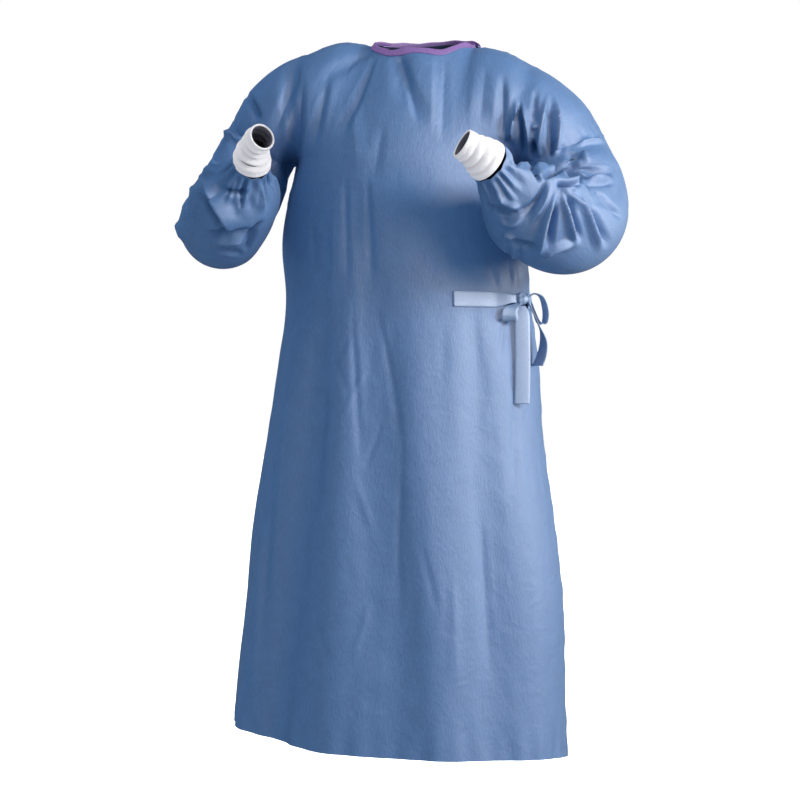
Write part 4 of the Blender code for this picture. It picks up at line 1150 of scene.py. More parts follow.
def nonwoven(name, seed):
    finish = Finish(
        name,
        IOR=1.6,
        Specular_IOR_Level=0.9,
        Sheen_Weight=0.02,
        Sheen_Roughness=0.45,
        Sheen_Tint=(0.86, 0.92, 1.0, 1.0),
    )
    cut = finish.node("ShaderNodeUVMap", {"uv_map": "cut"})
    cloth = finish.moved(cut, place=(7.0 * seed, 3.0 * seed, seed))
    streaks = finish.noise(finish.moved(cloth, turn=STREAK_TURN, scale=STREAK_SCALE), 1.0, 2.0, 0.6)
    grain = finish.noise(cloth, GRAIN_SCALE, 2.0, 0.65)
    blotch = finish.noise(cloth, BLOTCH_SCALE, 2.0, 0.5)
    crumple = finish.noise(cloth, CRUMPLE_SCALE, 2.0, 0.45, 0.6)
    ridges = 1.0 - abs(crumple * 2.0 - 1.0)
    bond_scale = (1.0 / BOND_PITCH, 1.0 / BOND_PITCH, 1.0)
    bonds = finish.node(
        "ShaderNodeTexVoronoi",
        {"feature": "F1"},
        {"Vector": finish.moved(cloth, turn=0.8, scale=bond_scale), "Scale": 1.0, "Randomness": 0.12},
    )
    mottle = streaks * 0.85 + grain * 0.75 + blotch * 0.5 - 0.55
    finish.drive(Base_Color=finish.blend(mottle, CLOTH_DARK, CLOTH_LIGHT))
    finish.drive(Roughness=0.66 + grain * 0.1)
    finish.bump(ridges * 0.45 + streaks * 0.36 + grain * 0.16 + bonds * 0.05, 0.0016)
    return finish.material


def nonwoven_painted_shade():
    """The cloth's inner side, in painted shade: a duller and darker blue than the cloth's own, as it lies
    in shadow.
    """
    finish = Finish("nonwoven_painted_shade", Roughness=0.85, Specular_IOR_Level=0.2)
    cut = finish.node("ShaderNodeUVMap", {"uv_map": "cut"})
    grain = finish.noise(cut, GRAIN_SCALE, 2.0, 0.6)
    paler = tuple(1.5 * part for part in CLOTH_INSIDE_PAINTED_SHADE[:3]) + (1.0,)
    finish.drive(Base_Color=finish.blend(grain, CLOTH_INSIDE_PAINTED_SHADE, paler))
    finish.bump(grain, 0.0004)
    return finish.material


painted_shade_finish = nonwoven_painted_shade()


def cut_places(shape, ring, least=0.0):
    """Where each point lies on the flat cloth, in metres from the middle of the panel's lower edge."""
    if ring:
        shape = np.concatenate([shape, shape[:, :1]], axis=1)
    middle = shape.shape[1] // 2
    u = np.zeros(shape.shape[:2])
    u[:, 1:] = np.cumsum(np.linalg.norm(np.diff(shape, axis=1), axis=2), axis=1)
    u *= np.maximum(1.0, least / u[:, -1:])
    v = np.zeros(shape.shape[0])
    v[1:] = np.cumsum(np.linalg.norm(np.diff(shape[:, middle], axis=0), axis=1))
    v = np.repeat(v[:, None], shape.shape[1], axis=1)
    return np.stack([u - u[:, middle : middle + 1], v], axis=2)


def cloth_piece(name, shape, finish, ring=False, least=0.0, thickness=SHEET):
    """A thin sheet through a grid of points, its outer side on them and its cut edges sharp."""
    rows, columns = shape.shape[:2]
    mesh = bpy.data.meshes.new(name)
    mesh.from_pydata(shape.reshape(-1, 3).tolist(), [], grid_faces(rows, columns, ring).tolist())
    places = cut_places(shape, ring, least)
    corners = grid_faces(rows, places.shape[1], False)
    mesh.uv_layers.new(name="cut").data.foreach_set("uv", places.reshape(-1, 2)[corners].reshape(-1))
    mesh.shade_smooth()
    edges = bmesh.new()
    edges.from_mesh(mesh)
    for edge in edges.edges:
        edge.smooth = not edge.is_boundary
    edges.to_mesh(mesh)
    edges.free()
    mesh.materials.append(finish)
    made = add_to_scene(name, mesh)
    if thickness:
        # The inner side of the sheet takes the painted shade finish
        mesh.materials.append(painted_shade_finish)
        wall = made.modifiers.new("thickness", "SOLIDIFY")
        wall.thickness = thickness
        wall.offset = -1.0
        wall.use_quality_normals = True
        wall.material_offset = 1
    return made


def hem_waves(shape, out, amount):
    """The cut edge at the hem curls a little in and out."""
    row, column = np.mgrid[: shape.shape[0], : shape.shape[1]].astype(float)
    wave = np.sin(0.37 * column) + np.sin(0.61 * column + 1.0) + np.sin(0.17 * column + 2.0)
    return shape + out * (amount * wave * (1.0 - steps(row, 0.0, 9.0)))[:, :, None]


front = hem_waves(front, front_out, HEM_WAVE)
back = hem_waves(back, back_out, HEM_WAVE)
grid_step = PER_ROW * FINER
front_panel = cloth_piece("gown_front", front, nonwoven("nonwoven_front", CLOTH_SEED["front"]))
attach(front_panel, "root")
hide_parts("front_panel")

inner_back = back[:, : PER_ROW * INNER_BACK_END + 1]
inner_panel = cloth_piece(
    "gown_back_inner", inner_back, nonwoven("nonwoven_back_inner", CLOTH_SEED["back_left"])
)
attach(inner_panel, "root")
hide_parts("back_panel_left")

# The outer back panel rises off its side and shoulder seams and lies over the inner one, its free
# edge a little wavy. These are counted in the solids' rows and columns, and the last in points.
RISES_BY = 1.8
NEAR_NECK = 3.0
EDGE_SPAN = 8.0
back_row, back_column = np.mgrid[: back.shape[0], : back.shape[1]].astype(float)
from_seam = (back.shape[1] - 1 - back_column) / grid_step
from_top = (back.shape[0] - 1 - back_row) / grid_step
past_shoulder = np.maximum(from_seam - SHOULDER_COLUMNS / FINER, 0.0)
lap_share = steps(from_seam, 1.0, (BACK_COLUMNS - INNER_BACK_END) / FINER - 1.0)
lap_share *= steps(np.hypot(past_shoulder, from_top), 0.0, RISES_BY)
near_neck = steps(from_top, NEAR_NECK, 0.0)
from_neck = back * np.array([1.0, 1.0, 0.0])
from_neck /= np.linalg.norm(from_neck, axis=2)[:, :, None]
lap = LAP * lap_share[:, :, None] * (back_out + near_neck[:, :, None] * from_neck)
edge_wave = 1.0 + np.sin(0.13 * back_row) * np.sin(0.071 * back_row + 1.0)
beside_edge = 1.0 - steps(back_column - PER_ROW * OUTER_BACK_END, 0.0, EDGE_SPAN)
lap *= (1.0 - EDGE_DOWN * beside_edge * (1.0 - near_neck))[:, :, None]
lap += back_out * (EDGE_WAVE * 0.5 * edge_wave * beside_edge * (1.0 - near_neck))[:, :, None]
outer_back = (back + lap)[:, PER_ROW * OUTER_BACK_END :]
outer_panel = cloth_piece(
    "gown_back_outer", outer_back, nonwoven("nonwoven_back_outer", CLOTH_SEED["back_right"])
)
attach(outer_panel, "root")
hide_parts("back_panel_right")

for side, sleeve, cut in (("left", left_sleeve, (0.58, 0.42)), ("right", right_sleeve, (0.58, 0.38))):
    sleeve_name = "sleeve_" + side
    piece = cloth_piece(
        "gown_" + sleeve_name,
        sleeve,
        nonwoven("nonwoven_" + sleeve_name, CLOTH_SEED[sleeve_name]),
        ring=True,
        least=LEAST_SLEEVE,
    )
    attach(piece, "root")
    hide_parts(sleeve_name)
    0.9 * cut[0] * cut[1]

# Cuffs: tubes of white rib knit, doubled over at the hand so that the edge is round, and sewn into the
# gathered ends of the sleeves. They bend at the wrist and wrinkle on the inside of the bend.
KNIT = 0.0022
CUFF_ROOT_RADIUS = {"left": 0.0346, "right": 0.0301}
CUFF_END_RADIUS = {"left": 0.0240, "right": 0.0210}
NARROWS_BY = {"left": 0.8, "right": 0.6}  # how far along each is as narrow as it gets
CUFF_COLUMNS = 248
CUFF_ROWS = 44
CUFF_INSIDE = 0.62  # how far back down the inside the doubled knit goes
INNER_ROWS = 20
RIM_STEPS = 6
WRINKLES = 4.5
WRINKLE_HEIGHTS = {"left": 0.0020, "right": 0.0046}
CUFF_ROOT_NARROWS = 0.0065  # by how much, and how soon, the knit is narrower under the sleeve's end
CUFF_ROOT_NARROWS_BY = 0.07
CUFF_ROOT_INSIDE = 0.08  # how far the cuff runs on inside the sleeve, as a share of its length
MOUTHS = {  # which way each cuff's open end faces: across the picture, up it, and out of it
    "left": (-0.84, 0.46, 0.26),
    "right": (0.53, 0.22, 0.81),
}
MOUTH_RUN = 0.42  # share of the cuff's length that runs that way
CUFF_HEM_FROM = 0.80
CUFF_HEM_RISE = 0.0005
RIB_COUNT = 62
RIB_HEIGHT = 0.0002
KNIT_WHITE = (0.91, 0.91, 0.93, 1.0)
KNIT_SHADE = (0.78, 0.78, 0.82, 1.0)
# Painted shade for the knit's inner side, which is white like the rest but lies in deep shade
KNIT_PAINTED_SHADE_LIGHT = (0.16, 0.16, 0.21, 1.0)
KNIT_PAINTED_SHADE_DARK = (0.09, 0.09, 0.13, 1.0)
STITCH_ROW = 0.0017  # height of a course of knit stitches


def rib_knit(name, shade, white):
    finish = Finish(name, Roughness=0.9, Sheen_Weight=0.25, Sheen_Roughness=0.5, Specular_IOR_Level=0.25)
    place = finish.node("ShaderNodeUVMap", {"uv_map": "cut"})
    parts = finish.node("ShaderNodeSeparateXYZ", {}, {"Vector": place})
    around = Value(finish.tree, parts.socket.node.outputs["X"])
    along = Value(finish.tree, parts.socket.node.outputs["Y"])
    ribs = finish.node("ShaderNodeMath", {"operation": "SINE"}, {0: around * (2.0 * math.pi * RIB_COUNT)})
    leaning = along * (2.0 * math.pi / STITCH_ROW) + abs(ribs) * 2.2
    courses = finish.node("ShaderNodeMath", {"operation": "SINE"}, {0: leaning})
    fluff = finish.noise(finish.node("ShaderNodeTexCoord", output=3), 900.0, 3.0, 0.6)
    # Painted shade: the colour is whiter on the ribs' and courses' ridges and greyer in their grooves, in
    # step with the bump; the fluff is random tone
    share = 0.52 + ribs * 0.26 + courses * 0.1 + (fluff - 0.5) * 0.5
    finish.drive(Base_Color=finish.blend(share, shade, white))
    finish.bump(ribs * 0.5 + courses * 0.16 + fluff * 0.5, 0.0006)
    return finish.material


def cuff_shape(arm, inside_wrinkles, wrinkle_height):
    """Rings of the knit's outer side, round its edge, and back down its inner side."""
    root, end = np.array(arm.wrist), np.array(arm.cuff_end)
    at, _, _ = arm_path(arm)
    heading = at(1.0)[1]
    mouth_across, mouth_up, mouth_out = MOUTHS[arm.side]
    mouth = unit(picture_across * mouth_across + up * mouth_up + to_camera * mouth_out)
    knee = end - mouth * MOUTH_RUN * np.linalg.norm(end - root)
    start = unit(knee - root + heading * np.linalg.norm(end - root) * 0.4)
    side = unit(np.cross(start, mouth))
    turns = 2.0 * math.pi * np.arange(CUFF_COLUMNS) / CUFF_COLUMNS
    runs = [(j / CUFF_ROWS, 0.0) for j in range(-int(CUFF_ROOT_INSIDE * CUFF_ROWS), CUFF_ROWS + 1)]
    runs += [
        (1.0 + 0.025 * math.sin(math.pi * k / RIM_STEPS), 0.5 - 0.5 * math.cos(math.pi * k / RIM_STEPS))
        for k in range(1, RIM_STEPS)
    ]
    runs += [(1.0 - CUFF_INSIDE * j / INNER_ROWS, 1.0) for j in range(INNER_ROWS + 1)]
    rings = []
    for s, depth in runs:
        inside = min(max(s, 0.0), 1.0)
        centre = mix(mix(root, knee, inside), mix(knee, end, inside), inside)
        along = unit(mix(start, mouth, smoothstep(inside, 0.0, 0.85)))
        centre = centre + (along if s > 0.0 else heading) * (s - inside) * np.linalg.norm(end - root)
        above = np.cross(along, side)
        narrowing = smoothstep(inside, 0.0, NARROWS_BY[arm.side])
        radius = mix(CUFF_ROOT_RADIUS[arm.side], CUFF_END_RADIUS[arm.side], narrowing)
        radius -= CUFF_ROOT_NARROWS * smoothstep(-s, 0.0, CUFF_ROOT_NARROWS_BY)
        # The wrinkles run across the tube, deepest on the inside of the bend
        phase = WRINKLES * inside + 0.10 * np.sin(turns + 1.0) + 0.05 * np.sin(3.0 * turns)
        slack = 0.5 + 0.5 * steps(np.sin(turns + inside_wrinkles), -0.3, 0.9)
        fade = smoothstep(inside, 0.03, 0.2) * (1.0 - smoothstep(inside, 0.78, 0.92))
        wrinkle = wrinkle_height * (2.0 * np.abs(np.sin(math.pi * phase)) ** 0.8 - 1.2) * slack * fade
        uneven = 0.0006 * np.sin(2.0 * turns + 4.0 * inside) * smoothstep(inside, 0.2, 1.0)
        hem = CUFF_HEM_RISE * smoothstep(inside, CUFF_HEM_FROM, CUFF_HEM_FROM + 0.03)
        rib = RIB_HEIGHT * np.cos(RIB_COUNT * turns)
        radius = radius - 0.0004 + wrinkle + uneven + hem * (1.0 - 2.0 * depth) + rib - depth * KNIT
        ring = radius[:, None] * (np.cos(turns)[:, None] * side + np.sin(turns)[:, None] * above)
        rings.append(centre + ring)
    # The knit's inner end is drawn down to the sleeve, so the doubled tube is closed
    return np.array(rings + rings[:1])


knit = rib_knit("rib_knit", KNIT_SHADE, KNIT_WHITE)
knit_painted_shade = rib_knit("rib_knit_painted_shade", KNIT_PAINTED_SHADE_DARK, KNIT_PAINTED_SHADE_LIGHT)
for side, arm, wrinkle_turn in (("left", LEFT_ARM, 1.2), ("right", RIGHT_ARM, -1.4)):
    rings = cuff_shape(arm, wrinkle_turn, WRINKLE_HEIGHTS[side])
    # Both arms' rings must run the same way round for the knit to face outward
    centre = rings[0].mean(axis=0)
    way = np.cross(rings[0][1] - rings[0][0], rings[1][0] - rings[0][0])
    if np.dot(way, rings[0][0] - centre) < 0.0:
        rings = rings[:, ::-1]
    piece = cloth_piece("knit_cuff_" + side, rings, knit, ring=True, thickness=0.0)
    places = piece.data.uv_layers["cut"].data
    flat = np.empty(len(places) * 2)
    places.foreach_get("uv", flat)
    flat = flat.reshape(-1, 2)
    flat[:, 0] /= 2.0 * math.pi * CUFF_END_RADIUS[side]
    places.foreach_set("uv", flat.reshape(-1))
    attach(piece, "root")
    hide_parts("cuff_" + side)
    # Painted shade: the side of the doubled knit that faces the wrist is white knit like the rest, but is
    # drawn dark, as it lies in deep shade
    piece.data.materials.append(knit_painted_shade)
    outer_faces = (len(rings) - 2 - INNER_ROWS) * rings.shape[1]
    layers = np.arange(len(piece.data.polygons)) >= outer_faces
    piece.data.polygons.foreach_set("material_index", layers.astype(np.int32))

# Neck binding: one strip of purple tape folded over the cut edge of the neck and stitched down along its
# foot. It starts on the inner back panel, goes round the front, and ends over the outer back panel.
BINDING_WIDTH = 0.012
BINDING = 0.0024
BINDING_STAND = 0.6
BINDING_WIDER, BINDING_NARROWER = 1.12, 0.80  # at the front, and behind the neck
BINDING_END_STEPS = 14  # the strip's two ends are cut off at a slant over so many steps
BINDING_LEAN = 0.2
BINDING_LOW = 0.0035  # how far the strip comes down over the panel's edge
BINDING_SECTION = (  # share of the width up from the foot, share of the thickness out
    (0.00, 0.62), (0.04, 0.84), (0.14, 0.66), (0.40, 0.84), (0.70, 0.80), (0.90, 0.56), (1.00, 0.0),
    (0.90, -0.56), (0.60, -0.70), (0.20, -0.70), (0.00, -0.62),
)
BINDING_WAVE = 0.0007
PURPLE_DARK = (0.115, 0.045, 0.235, 1.0)
PURPLE_LIGHT = (0.235, 0.115, 0.400, 1.0)
THREAD_PURPLE = (0.16, 0.07, 0.30, 1.0)
STITCH_PITCH = 0.0034
STITCH_LENGTH = 0.0025
STITCH_THICK = 0.00042
STITCH_OUT = 0.66  # share of the binding's thickness out, where its stitches lie in a groove
BINDING_STITCH_AT = 0.20
BINDING_SWELL = 0.72  # share of the full thickness that the strip fills where it is pressed flat


def woven_tape(name, dark, light, weave_height, shine):
    """Narrow tape with a fine cross rib."""
    finish = Finish(name, Roughness=0.7, IOR=shine, Specular_IOR_Level=0.9)
    place = finish.node("ShaderNodeUVMap", {"uv_map": "cut"})
    wide = finish.moved(place, scale=(700.0, 1500.0, 1.0))
    weave = finish.noise(wide, 1.0, 2.0, 0.5)
    spots = finish.noise(place, 240.0, 2.0, 0.6)
    finish.drive(Base_Color=finish.blend(weave * 0.7 + spots * 0.7 - 0.2, dark, light))
    finish.bump(weave * 0.7 + spots * 0.6, weave_height)
    return finish.material


def thread(name, colour):
    finish = Finish(name, Roughness=0.55, Sheen_Weight=0.3)
    twist = finish.noise(finish.node("ShaderNodeTexCoord", output=3), 2500.0, 1.0)
    darker = tuple(0.7 * part for part in colour[:3]) + (1.0,)
    finish.drive(Base_Color=finish.blend(twist, darker, colour))
    return finish.material


def stitch_tree():
    """Geometry nodes that lay stitches along a line."""
    tree = bpy.data.node_groups.new("stitches", "GeometryNodeTree")
    ports = {}
    kinds = (("Line", "Geometry"), ("Pitch", "Float"), ("Length", "Float"), ("Thickness", "Float"))
    for name, kind in (*kinds, ("Thread", "Material")):
        ports[name] = tree.interface.new_socket(name, in_out="INPUT", socket_type="NodeSocket" + kind)
    tree.interface.new_socket("Stitches", in_out="OUTPUT", socket_type="NodeSocketGeometry")
    given, made = tree.nodes.new("NodeGroupInput"), tree.nodes.new("NodeGroupOutput")
    line = tree.nodes.new("GeometryNodeMeshToCurve")
    spaced = tree.nodes.new("GeometryNodeResampleCurve")
    spaced.mode = "LENGTH"
    along = tree.nodes.new("GeometryNodeInputTangent")
    turned = tree.nodes.new("FunctionNodeAlignRotationToVector")
    turned.axis = "Z"
    stitch = tree.nodes.new("GeometryNodeMeshUVSphere")
    stitch.inputs["Segments"].default_value = 6
    stitch.inputs["Rings"].default_value = 4
    stitch.inputs["Radius"].default_value = 0.5
    size = tree.nodes.new("ShaderNodeCombineXYZ")
    placed = tree.nodes.new("GeometryNodeInstanceOnPoints")
    real = tree.nodes.new("GeometryNodeRealizeInstances")
    smooth = tree.nodes.new("GeometryNodeSetShadeSmooth")
    dressed = tree.nodes.new("GeometryNodeSetMaterial")
    links = (
        (given.outputs["Line"], line.inputs[0]),
        (line.outputs[0], spaced.inputs["Curve"]),
        (given.outputs["Pitch"], spaced.inputs["Length"]),
        (spaced.outputs[0], placed.inputs["Points"]),
        (stitch.outputs["Mesh"], placed.inputs["Instance"]),
        (along.outputs[0], turned.inputs["Vector"]),
        (turned.outputs[0], placed.inputs["Rotation"]),
        (given.outputs["Thickness"], size.inputs["X"]),
        (given.outputs["Thickness"], size.inputs["Y"]),
        (given.outputs["Length"], size.inputs["Z"]),
        (size.outputs[0], placed.inputs["Scale"]),
        (placed.outputs[0], real.inputs[0]),
        (real.outputs[0], smooth.inputs[0]),
        (smooth.outputs[0], dressed.inputs["Geometry"]),
        (given.outputs["Thread"], dressed.inputs["Material"]),
        (dressed.outputs[0], made.inputs[0]),
    )
    for start, end in links:
        tree.links.new(start, end)
    return tree, {name: port.identifier for name, port in ports.items()}


def sew_line(name, lines, colour_material, closed=False):
    """Rows of stitches along lines of points, as one plain mesh."""
    verts, edges = [], []
    for line in lines:
        first = len(verts)
        verts += [tuple(point) for point in line]
        edges += [(first + i, first + i + 1) for i in range(len(line) - 1)]
        if closed:
            edges.append((len(verts) - 1, first))
    mesh = bpy.data.meshes.new(name + "_line")
    mesh.from_pydata(verts, edges, [])
    guide = add_to_scene(name + "_line", mesh)
    nodes = guide.modifiers.new("stitches", "NODES")
    nodes.node_group = stitches
    nodes[stitch_ports["Pitch"]] = STITCH_PITCH
    nodes[stitch_ports["Length"]] = STITCH_LENGTH
    nodes[stitch_ports["Thickness"]] = STITCH_THICK
    nodes[stitch_ports["Thread"]] = colour_material
    evaluated = guide.evaluated_get(bpy.context.evaluated_depsgraph_get())
    sewn = add_to_scene(name, bpy.data.meshes.new_from_object(evaluated))
    guide.modifiers.clear()
    bpy.data.objects.remove(guide, do_unlink=True)
    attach(sewn, "root")
    return sewn


stitches, stitch_ports = stitch_tree()
side_steps = PER_ROW * SHOULDER_COLUMNS
front_end, back_end = front.shape[1] - 1 - side_steps, back.shape[1] - 2 - side_steps
binding_runs = [(back, back_out, i, False) for i in range(PER_ROW * INNER_BACK_END, side_steps, -1)]
binding_runs += [(front, front_out, i, False) for i in range(front_end, side_steps - 1, -1)]
binding_runs += [(back, back_out, i, True) for i in range(back_end, PER_ROW * OUTER_BACK_END - 1, -1)]
feet, rises, inwards = [], [], []
for grid, out, i, lapped in binding_runs:
    foot = grid[-1, i] + out[-1, i] * 0.5 * (BINDING - SHEET)
    feet.append(foot + lap[-1, i] if lapped else foot)
    rises.append(unit(unit(grid[-1, i] - grid[-1 - grid_step, i]) + np.array([0.0, 0.0, BINDING_STAND])))
    inwards.append(unit(np.array([-foot[0], -foot[1], 0.0])))
feet, rises, inwards = np.array(feet), np.array(rises), np.array(inwards)
for _ in range(6):
    # Even steps along the strip, without the small jumps where one panel's rows meet the next one's
    for lines in (feet, rises):
        lines[1:-1] = 0.25 * lines[:-2] + 0.5 * lines[1:-1] + 0.25 * lines[2:]
step = np.arange(len(feet))
uprights = rises + inwards * BINDING_LEAN
uprights /= np.linalg.norm(uprights, axis=1)[:, None]
along_strip = np.gradient(feet, axis=0)
along_strip /= np.linalg.norm(along_strip, axis=1)[:, None]
outwards = np.cross(uprights, along_strip)
outwards *= np.sign(np.sum(outwards * -inwards, axis=1))[:, None]
wave = BINDING_WAVE * (np.sin(0.43 * step) + 0.7 * np.sin(0.27 * step + 2.0))
base = feet - uprights * BINDING_LOW
breadth = mix(BINDING_WIDER, BINDING_NARROWER, steps(feet[:, 1], -0.05, 0.03))
breadth = breadth * mix(0.35, 1.0, steps(np.minimum(step, step[::-1]), 0.0, BINDING_END_STEPS))
strip = []
for rise_share, out_share in BINDING_SECTION:
    height = (BINDING_WIDTH * breadth + wave) * rise_share
    strip.append(base + uprights * height[:, None] + outwards * (BINDING * BINDING_SWELL * out_share))
strip = np.array(strip).transpose(1, 0, 2)
tape_purple = woven_tape("purple_tape", PURPLE_DARK, PURPLE_LIGHT, 0.0005, 1.5)


def tape_piece(name, sections, finish, node):
    """A closed tube through like sections, its ends capped, laid flat along its length for its pattern."""
    count, around = sections.shape[:2]
    caps = np.array([sections[0].mean(axis=0), sections[-1].mean(axis=0)])
    mesh = bpy.data.meshes.new(name)
    faces = grid_faces(count, around, True).tolist()
    first, last = count * around, count * around + 1
    for i in range(around):
        k = (i + 1) % around
        faces.append((first, k, i))
        faces.append((last, (count - 1) * around + i, (count - 1) * around + k))
    mesh.from_pydata(sections.reshape(-1, 3).tolist() + caps.tolist(), [], faces)
    along = np.zeros(count)
    along[1:] = np.cumsum(np.linalg.norm(np.diff(sections.mean(axis=1), axis=0), axis=1))
    rounds = np.linalg.norm(sections[0] - np.roll(sections[0], 1, axis=0), axis=1).cumsum()
    places = np.stack(np.meshgrid(rounds, along), axis=2).reshape(-1, 2)
    places = np.concatenate([places, [[0.0, along[0]], [0.0, along[-1]]]])
    corners = np.empty(len(mesh.loops), dtype=np.int32)
    mesh.loops.foreach_get("vertex_index", corners)
    mesh.uv_layers.new(name="cut").data.foreach_set("uv", places[corners].reshape(-1))
    shape = bmesh.new()
    shape.from_mesh(mesh)
    bmesh.ops.recalc_face_normals(shape, faces=shape.faces)
    shape.to_mesh(mesh)
    shape.free()
    mesh.shade_smooth()
    mesh.materials.append(finish)
    made = add_to_scene(name, mesh)
    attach(made, "root")
    if node:
        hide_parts(node)
    return made


stitch_line = base + uprights * (BINDING_WIDTH * BINDING_STITCH_AT)
stitch_line += outwards * (BINDING * BINDING_SWELL * STITCH_OUT)
purple_thread = thread("purple_thread", THREAD_PURPLE)
binding_thread = sew_line("binding_stitches", [stitch_line], purple_thread)
tape_piece(
    "purple_binding", strip, tape_purple, "neck_binding"
)

# Waist ties: flat tapes of the same nonwoven, folded double and paler. One is welded to the front panel,
# and the other comes round from the back, and they are tied in a small bow at the wearer's left.
TIE_WIDTH = 0.0245
TIE = 0.0015
TIE_Z = -0.433
TIE_CLEAR = 0.0008
TAB_START = 118.0
KNOT_AT = 154.0
WRAP_END = 237.0
KNOT_SIZE = (0.024, 0.019, 0.021)
KNOT_STAND = 0.016
TAB_END = 3.6
WRAP_START = 2.85
LIFT_SPAN = (5.0, 15.0)
NARROW_SPAN = (5.0, 14.0)
NARROWED = 0.5
LAP_SPAN = (9.0, 1.5)
LAP_CLEAR = 0.0006
TAPE_ACROSS = 9
TAPE_DARK = (0.05, 0.15, 0.34, 1.0)
TAPE_LIGHT = (0.12, 0.25, 0.48, 1.0)
THREAD_PALE = (0.30, 0.40, 0.60, 1.0)
EDGE_FOLD = 0.0003  # the folded edges are this much thicker
STITCH_REACH = 0.0095  # how far from its middle the tab is stitched

# Each hanging tape: place from the middle of the knot, the way that its width points in plan, and width
Tape = namedtuple("Tape", "x y z facing width")
LONG_TAIL = table(
    Tape,
    (0.001, 0.001, -0.0110, 10, 0.0120),
    (0.002, -0.003, -0.0240, 10, 0.0235),
    (0.003, -0.007, -0.0500, 10, 0.0245),
    (0.004, -0.010, -0.0900, 10, 0.0245),
    (0.004, -0.012, -0.1300, 11, 0.0245),
    (0.003, -0.012, -0.1710, 12, 0.0245),
)
SHORT_TAIL = table(
    Tape,
    (0.0109, 0.0049, -0.0042, 95, 0.0070),
    (0.0180, 0.016, -0.0220, 95, 0.0180),
    (0.0270, 0.026, -0.0450, 98, 0.0245),
    (0.0325, 0.031, -0.0680, 122, 0.0245),
    (0.0300, 0.031, -0.0900, 136, 0.0245),
    (0.0235, 0.028, -0.1080, 142, 0.0245),
)
FRONT_LOOP = table(
    Tape,
    (-0.0007, -0.0066, -0.0079, 10, 0.0070),
    (-0.0130, -0.0220, -0.0150, 10, 0.0220),
    (-0.0160, -0.0260, -0.0270, 10, 0.0240),
    (-0.0165, -0.0200, -0.0355, 10, 0.0240),
    (-0.0150, -0.0130, -0.0290, 10, 0.0235),
    (-0.0120, -0.0125, -0.0210, 10, 0.0150),
    (-0.0060, -0.0075, -0.0150, 10, 0.0070),
)
BACK_LOOP = table(
    Tape,
    (0.0121, 0.0038, 0.0028, 85, 0.0080),
    (0.0210, 0.0100, 0.0085, 98, 0.0180),
    (0.0320, 0.0160, 0.0020, 114, 0.0220),
    (0.0375, 0.0220, -0.0200, 120, 0.0235),
    (0.0350, 0.0250, -0.0380, 118, 0.0235),
    (0.0265, 0.0260, -0.0360, 112, 0.0235),
    (0.0205, 0.0210, -0.0200, 106, 0.0225),
    (0.0170, 0.0140, -0.0060, 98, 0.0180),
    (0.0135, 0.0060, -0.0010, 88, 0.0070),
)


def tape_section(centre, across, away, width, thickness):
    """Points round a flat tape: over its outer side, round one edge, and back under it."""
    shares = np.linspace(-0.5, 0.5, TAPE_ACROSS)
    beside = np.abs(shares)
    fold = 0.5 * thickness + EDGE_FOLD * steps(beside, 0.34, 0.44) * (1.0 - steps(beside, 0.46, 0.5))
    outer = [centre + across * width * s + away * f for s, f in zip(shares, fold)]
    inner = [centre + across * width * s - away * 0.5 * thickness for s in shares[::-1]]
    edge = across * (0.5 * width + 0.35 * thickness)
    return outer + [centre + edge] + inner + [centre - edge]


def on_gown(degrees, z, stand):
    """A point a small way off the finished cloth, at an angle round the body and a height."""
    grid = front if degrees <= 180.0 else back
    place = (degrees if degrees <= 180.0 else degrees - 180.0) / 180.0 * (grid.shape[1] - 1)
    i = min(int(place), grid.shape[1] - 2)
    skirt = grid[: PER_ROW * SKIRT_ROWS + 1]
    line = mix(skirt[:, i], skirt[:, i + 1], place - i)
    j = int(np.clip(np.searchsorted(line[:, 2], z) - 1, 0, len(line) - 2))
    here = mix(line[j], line[j + 1], (z - line[j, 2]) / (line[j + 1, 2] - line[j, 2]))
    out = unit(np.cross(skirt[j, i + 1] - skirt[j, i], line[j + 1] - line[j]))
    return here + out * stand, out


def rise_to_knot(degrees):
    near = 1.0 - smoothstep(abs(degrees - KNOT_AT), *LIFT_SPAN)
    return near * (KNOT_STAND - TIE_CLEAR - 0.5 * TIE)


def narrowed(degrees):
    return TIE_WIDTH * mix(NARROWED, 1.0, smoothstep(abs(degrees - KNOT_AT), *NARROW_SPAN))


def over_lap(degrees):
    lap_edge = 180.0 + OUTER_BACK_END * 180.0 / BACK_COLUMNS
    return (LAP + LAP_CLEAR) * smoothstep(degrees, lap_edge - LAP_SPAN[0], lap_edge - LAP_SPAN[1])


def tape_on_gown(first, last, count):
    """Sections of a tape that lies round the body, clear of the highest cloth under it."""
    centres, ways = [], []
    for degrees in np.linspace(first, last, count):
        stand = TIE_CLEAR + 0.5 * TIE + rise_to_knot(degrees)
        if degrees > 180.0:
            stand += over_lap(degrees)
        heights = [TIE_Z + narrowed(degrees) * k for k in (-0.5, -0.25, 0.0, 0.25, 0.5)]
        spots = [on_gown(degrees, z, stand) for z in heights]
        way = unit(sum(out for _, out in spots))
        middle = spots[2][0]
        clear = max(np.dot(spot - middle, way) for spot, _ in spots)
        centres.append(middle + way * max(clear, 0.0))
        ways.append(way)
    centres, ways = np.array(centres), np.array(ways)
    for _ in range(3):
        centres[1:-1] = 0.25 * centres[:-2] + 0.5 * centres[1:-1] + 0.25 * centres[2:]
        ways[1:-1] = 0.25 * ways[:-2] + 0.5 * ways[1:-1] + 0.25 * ways[2:]
    along = np.gradient(centres, axis=0)
    sections = []
    for k, degrees in enumerate(np.linspace(first, last, count)):
        across = unit(np.cross(along[k], ways[k]))
        across = across if across[2] > 0.0 else -across
        away = unit(ways[k] - across * np.dot(ways[k], across))
        sections.append(tape_section(centres[k], across, away, narrowed(degrees), TIE))
    return np.array(sections), centres, ways


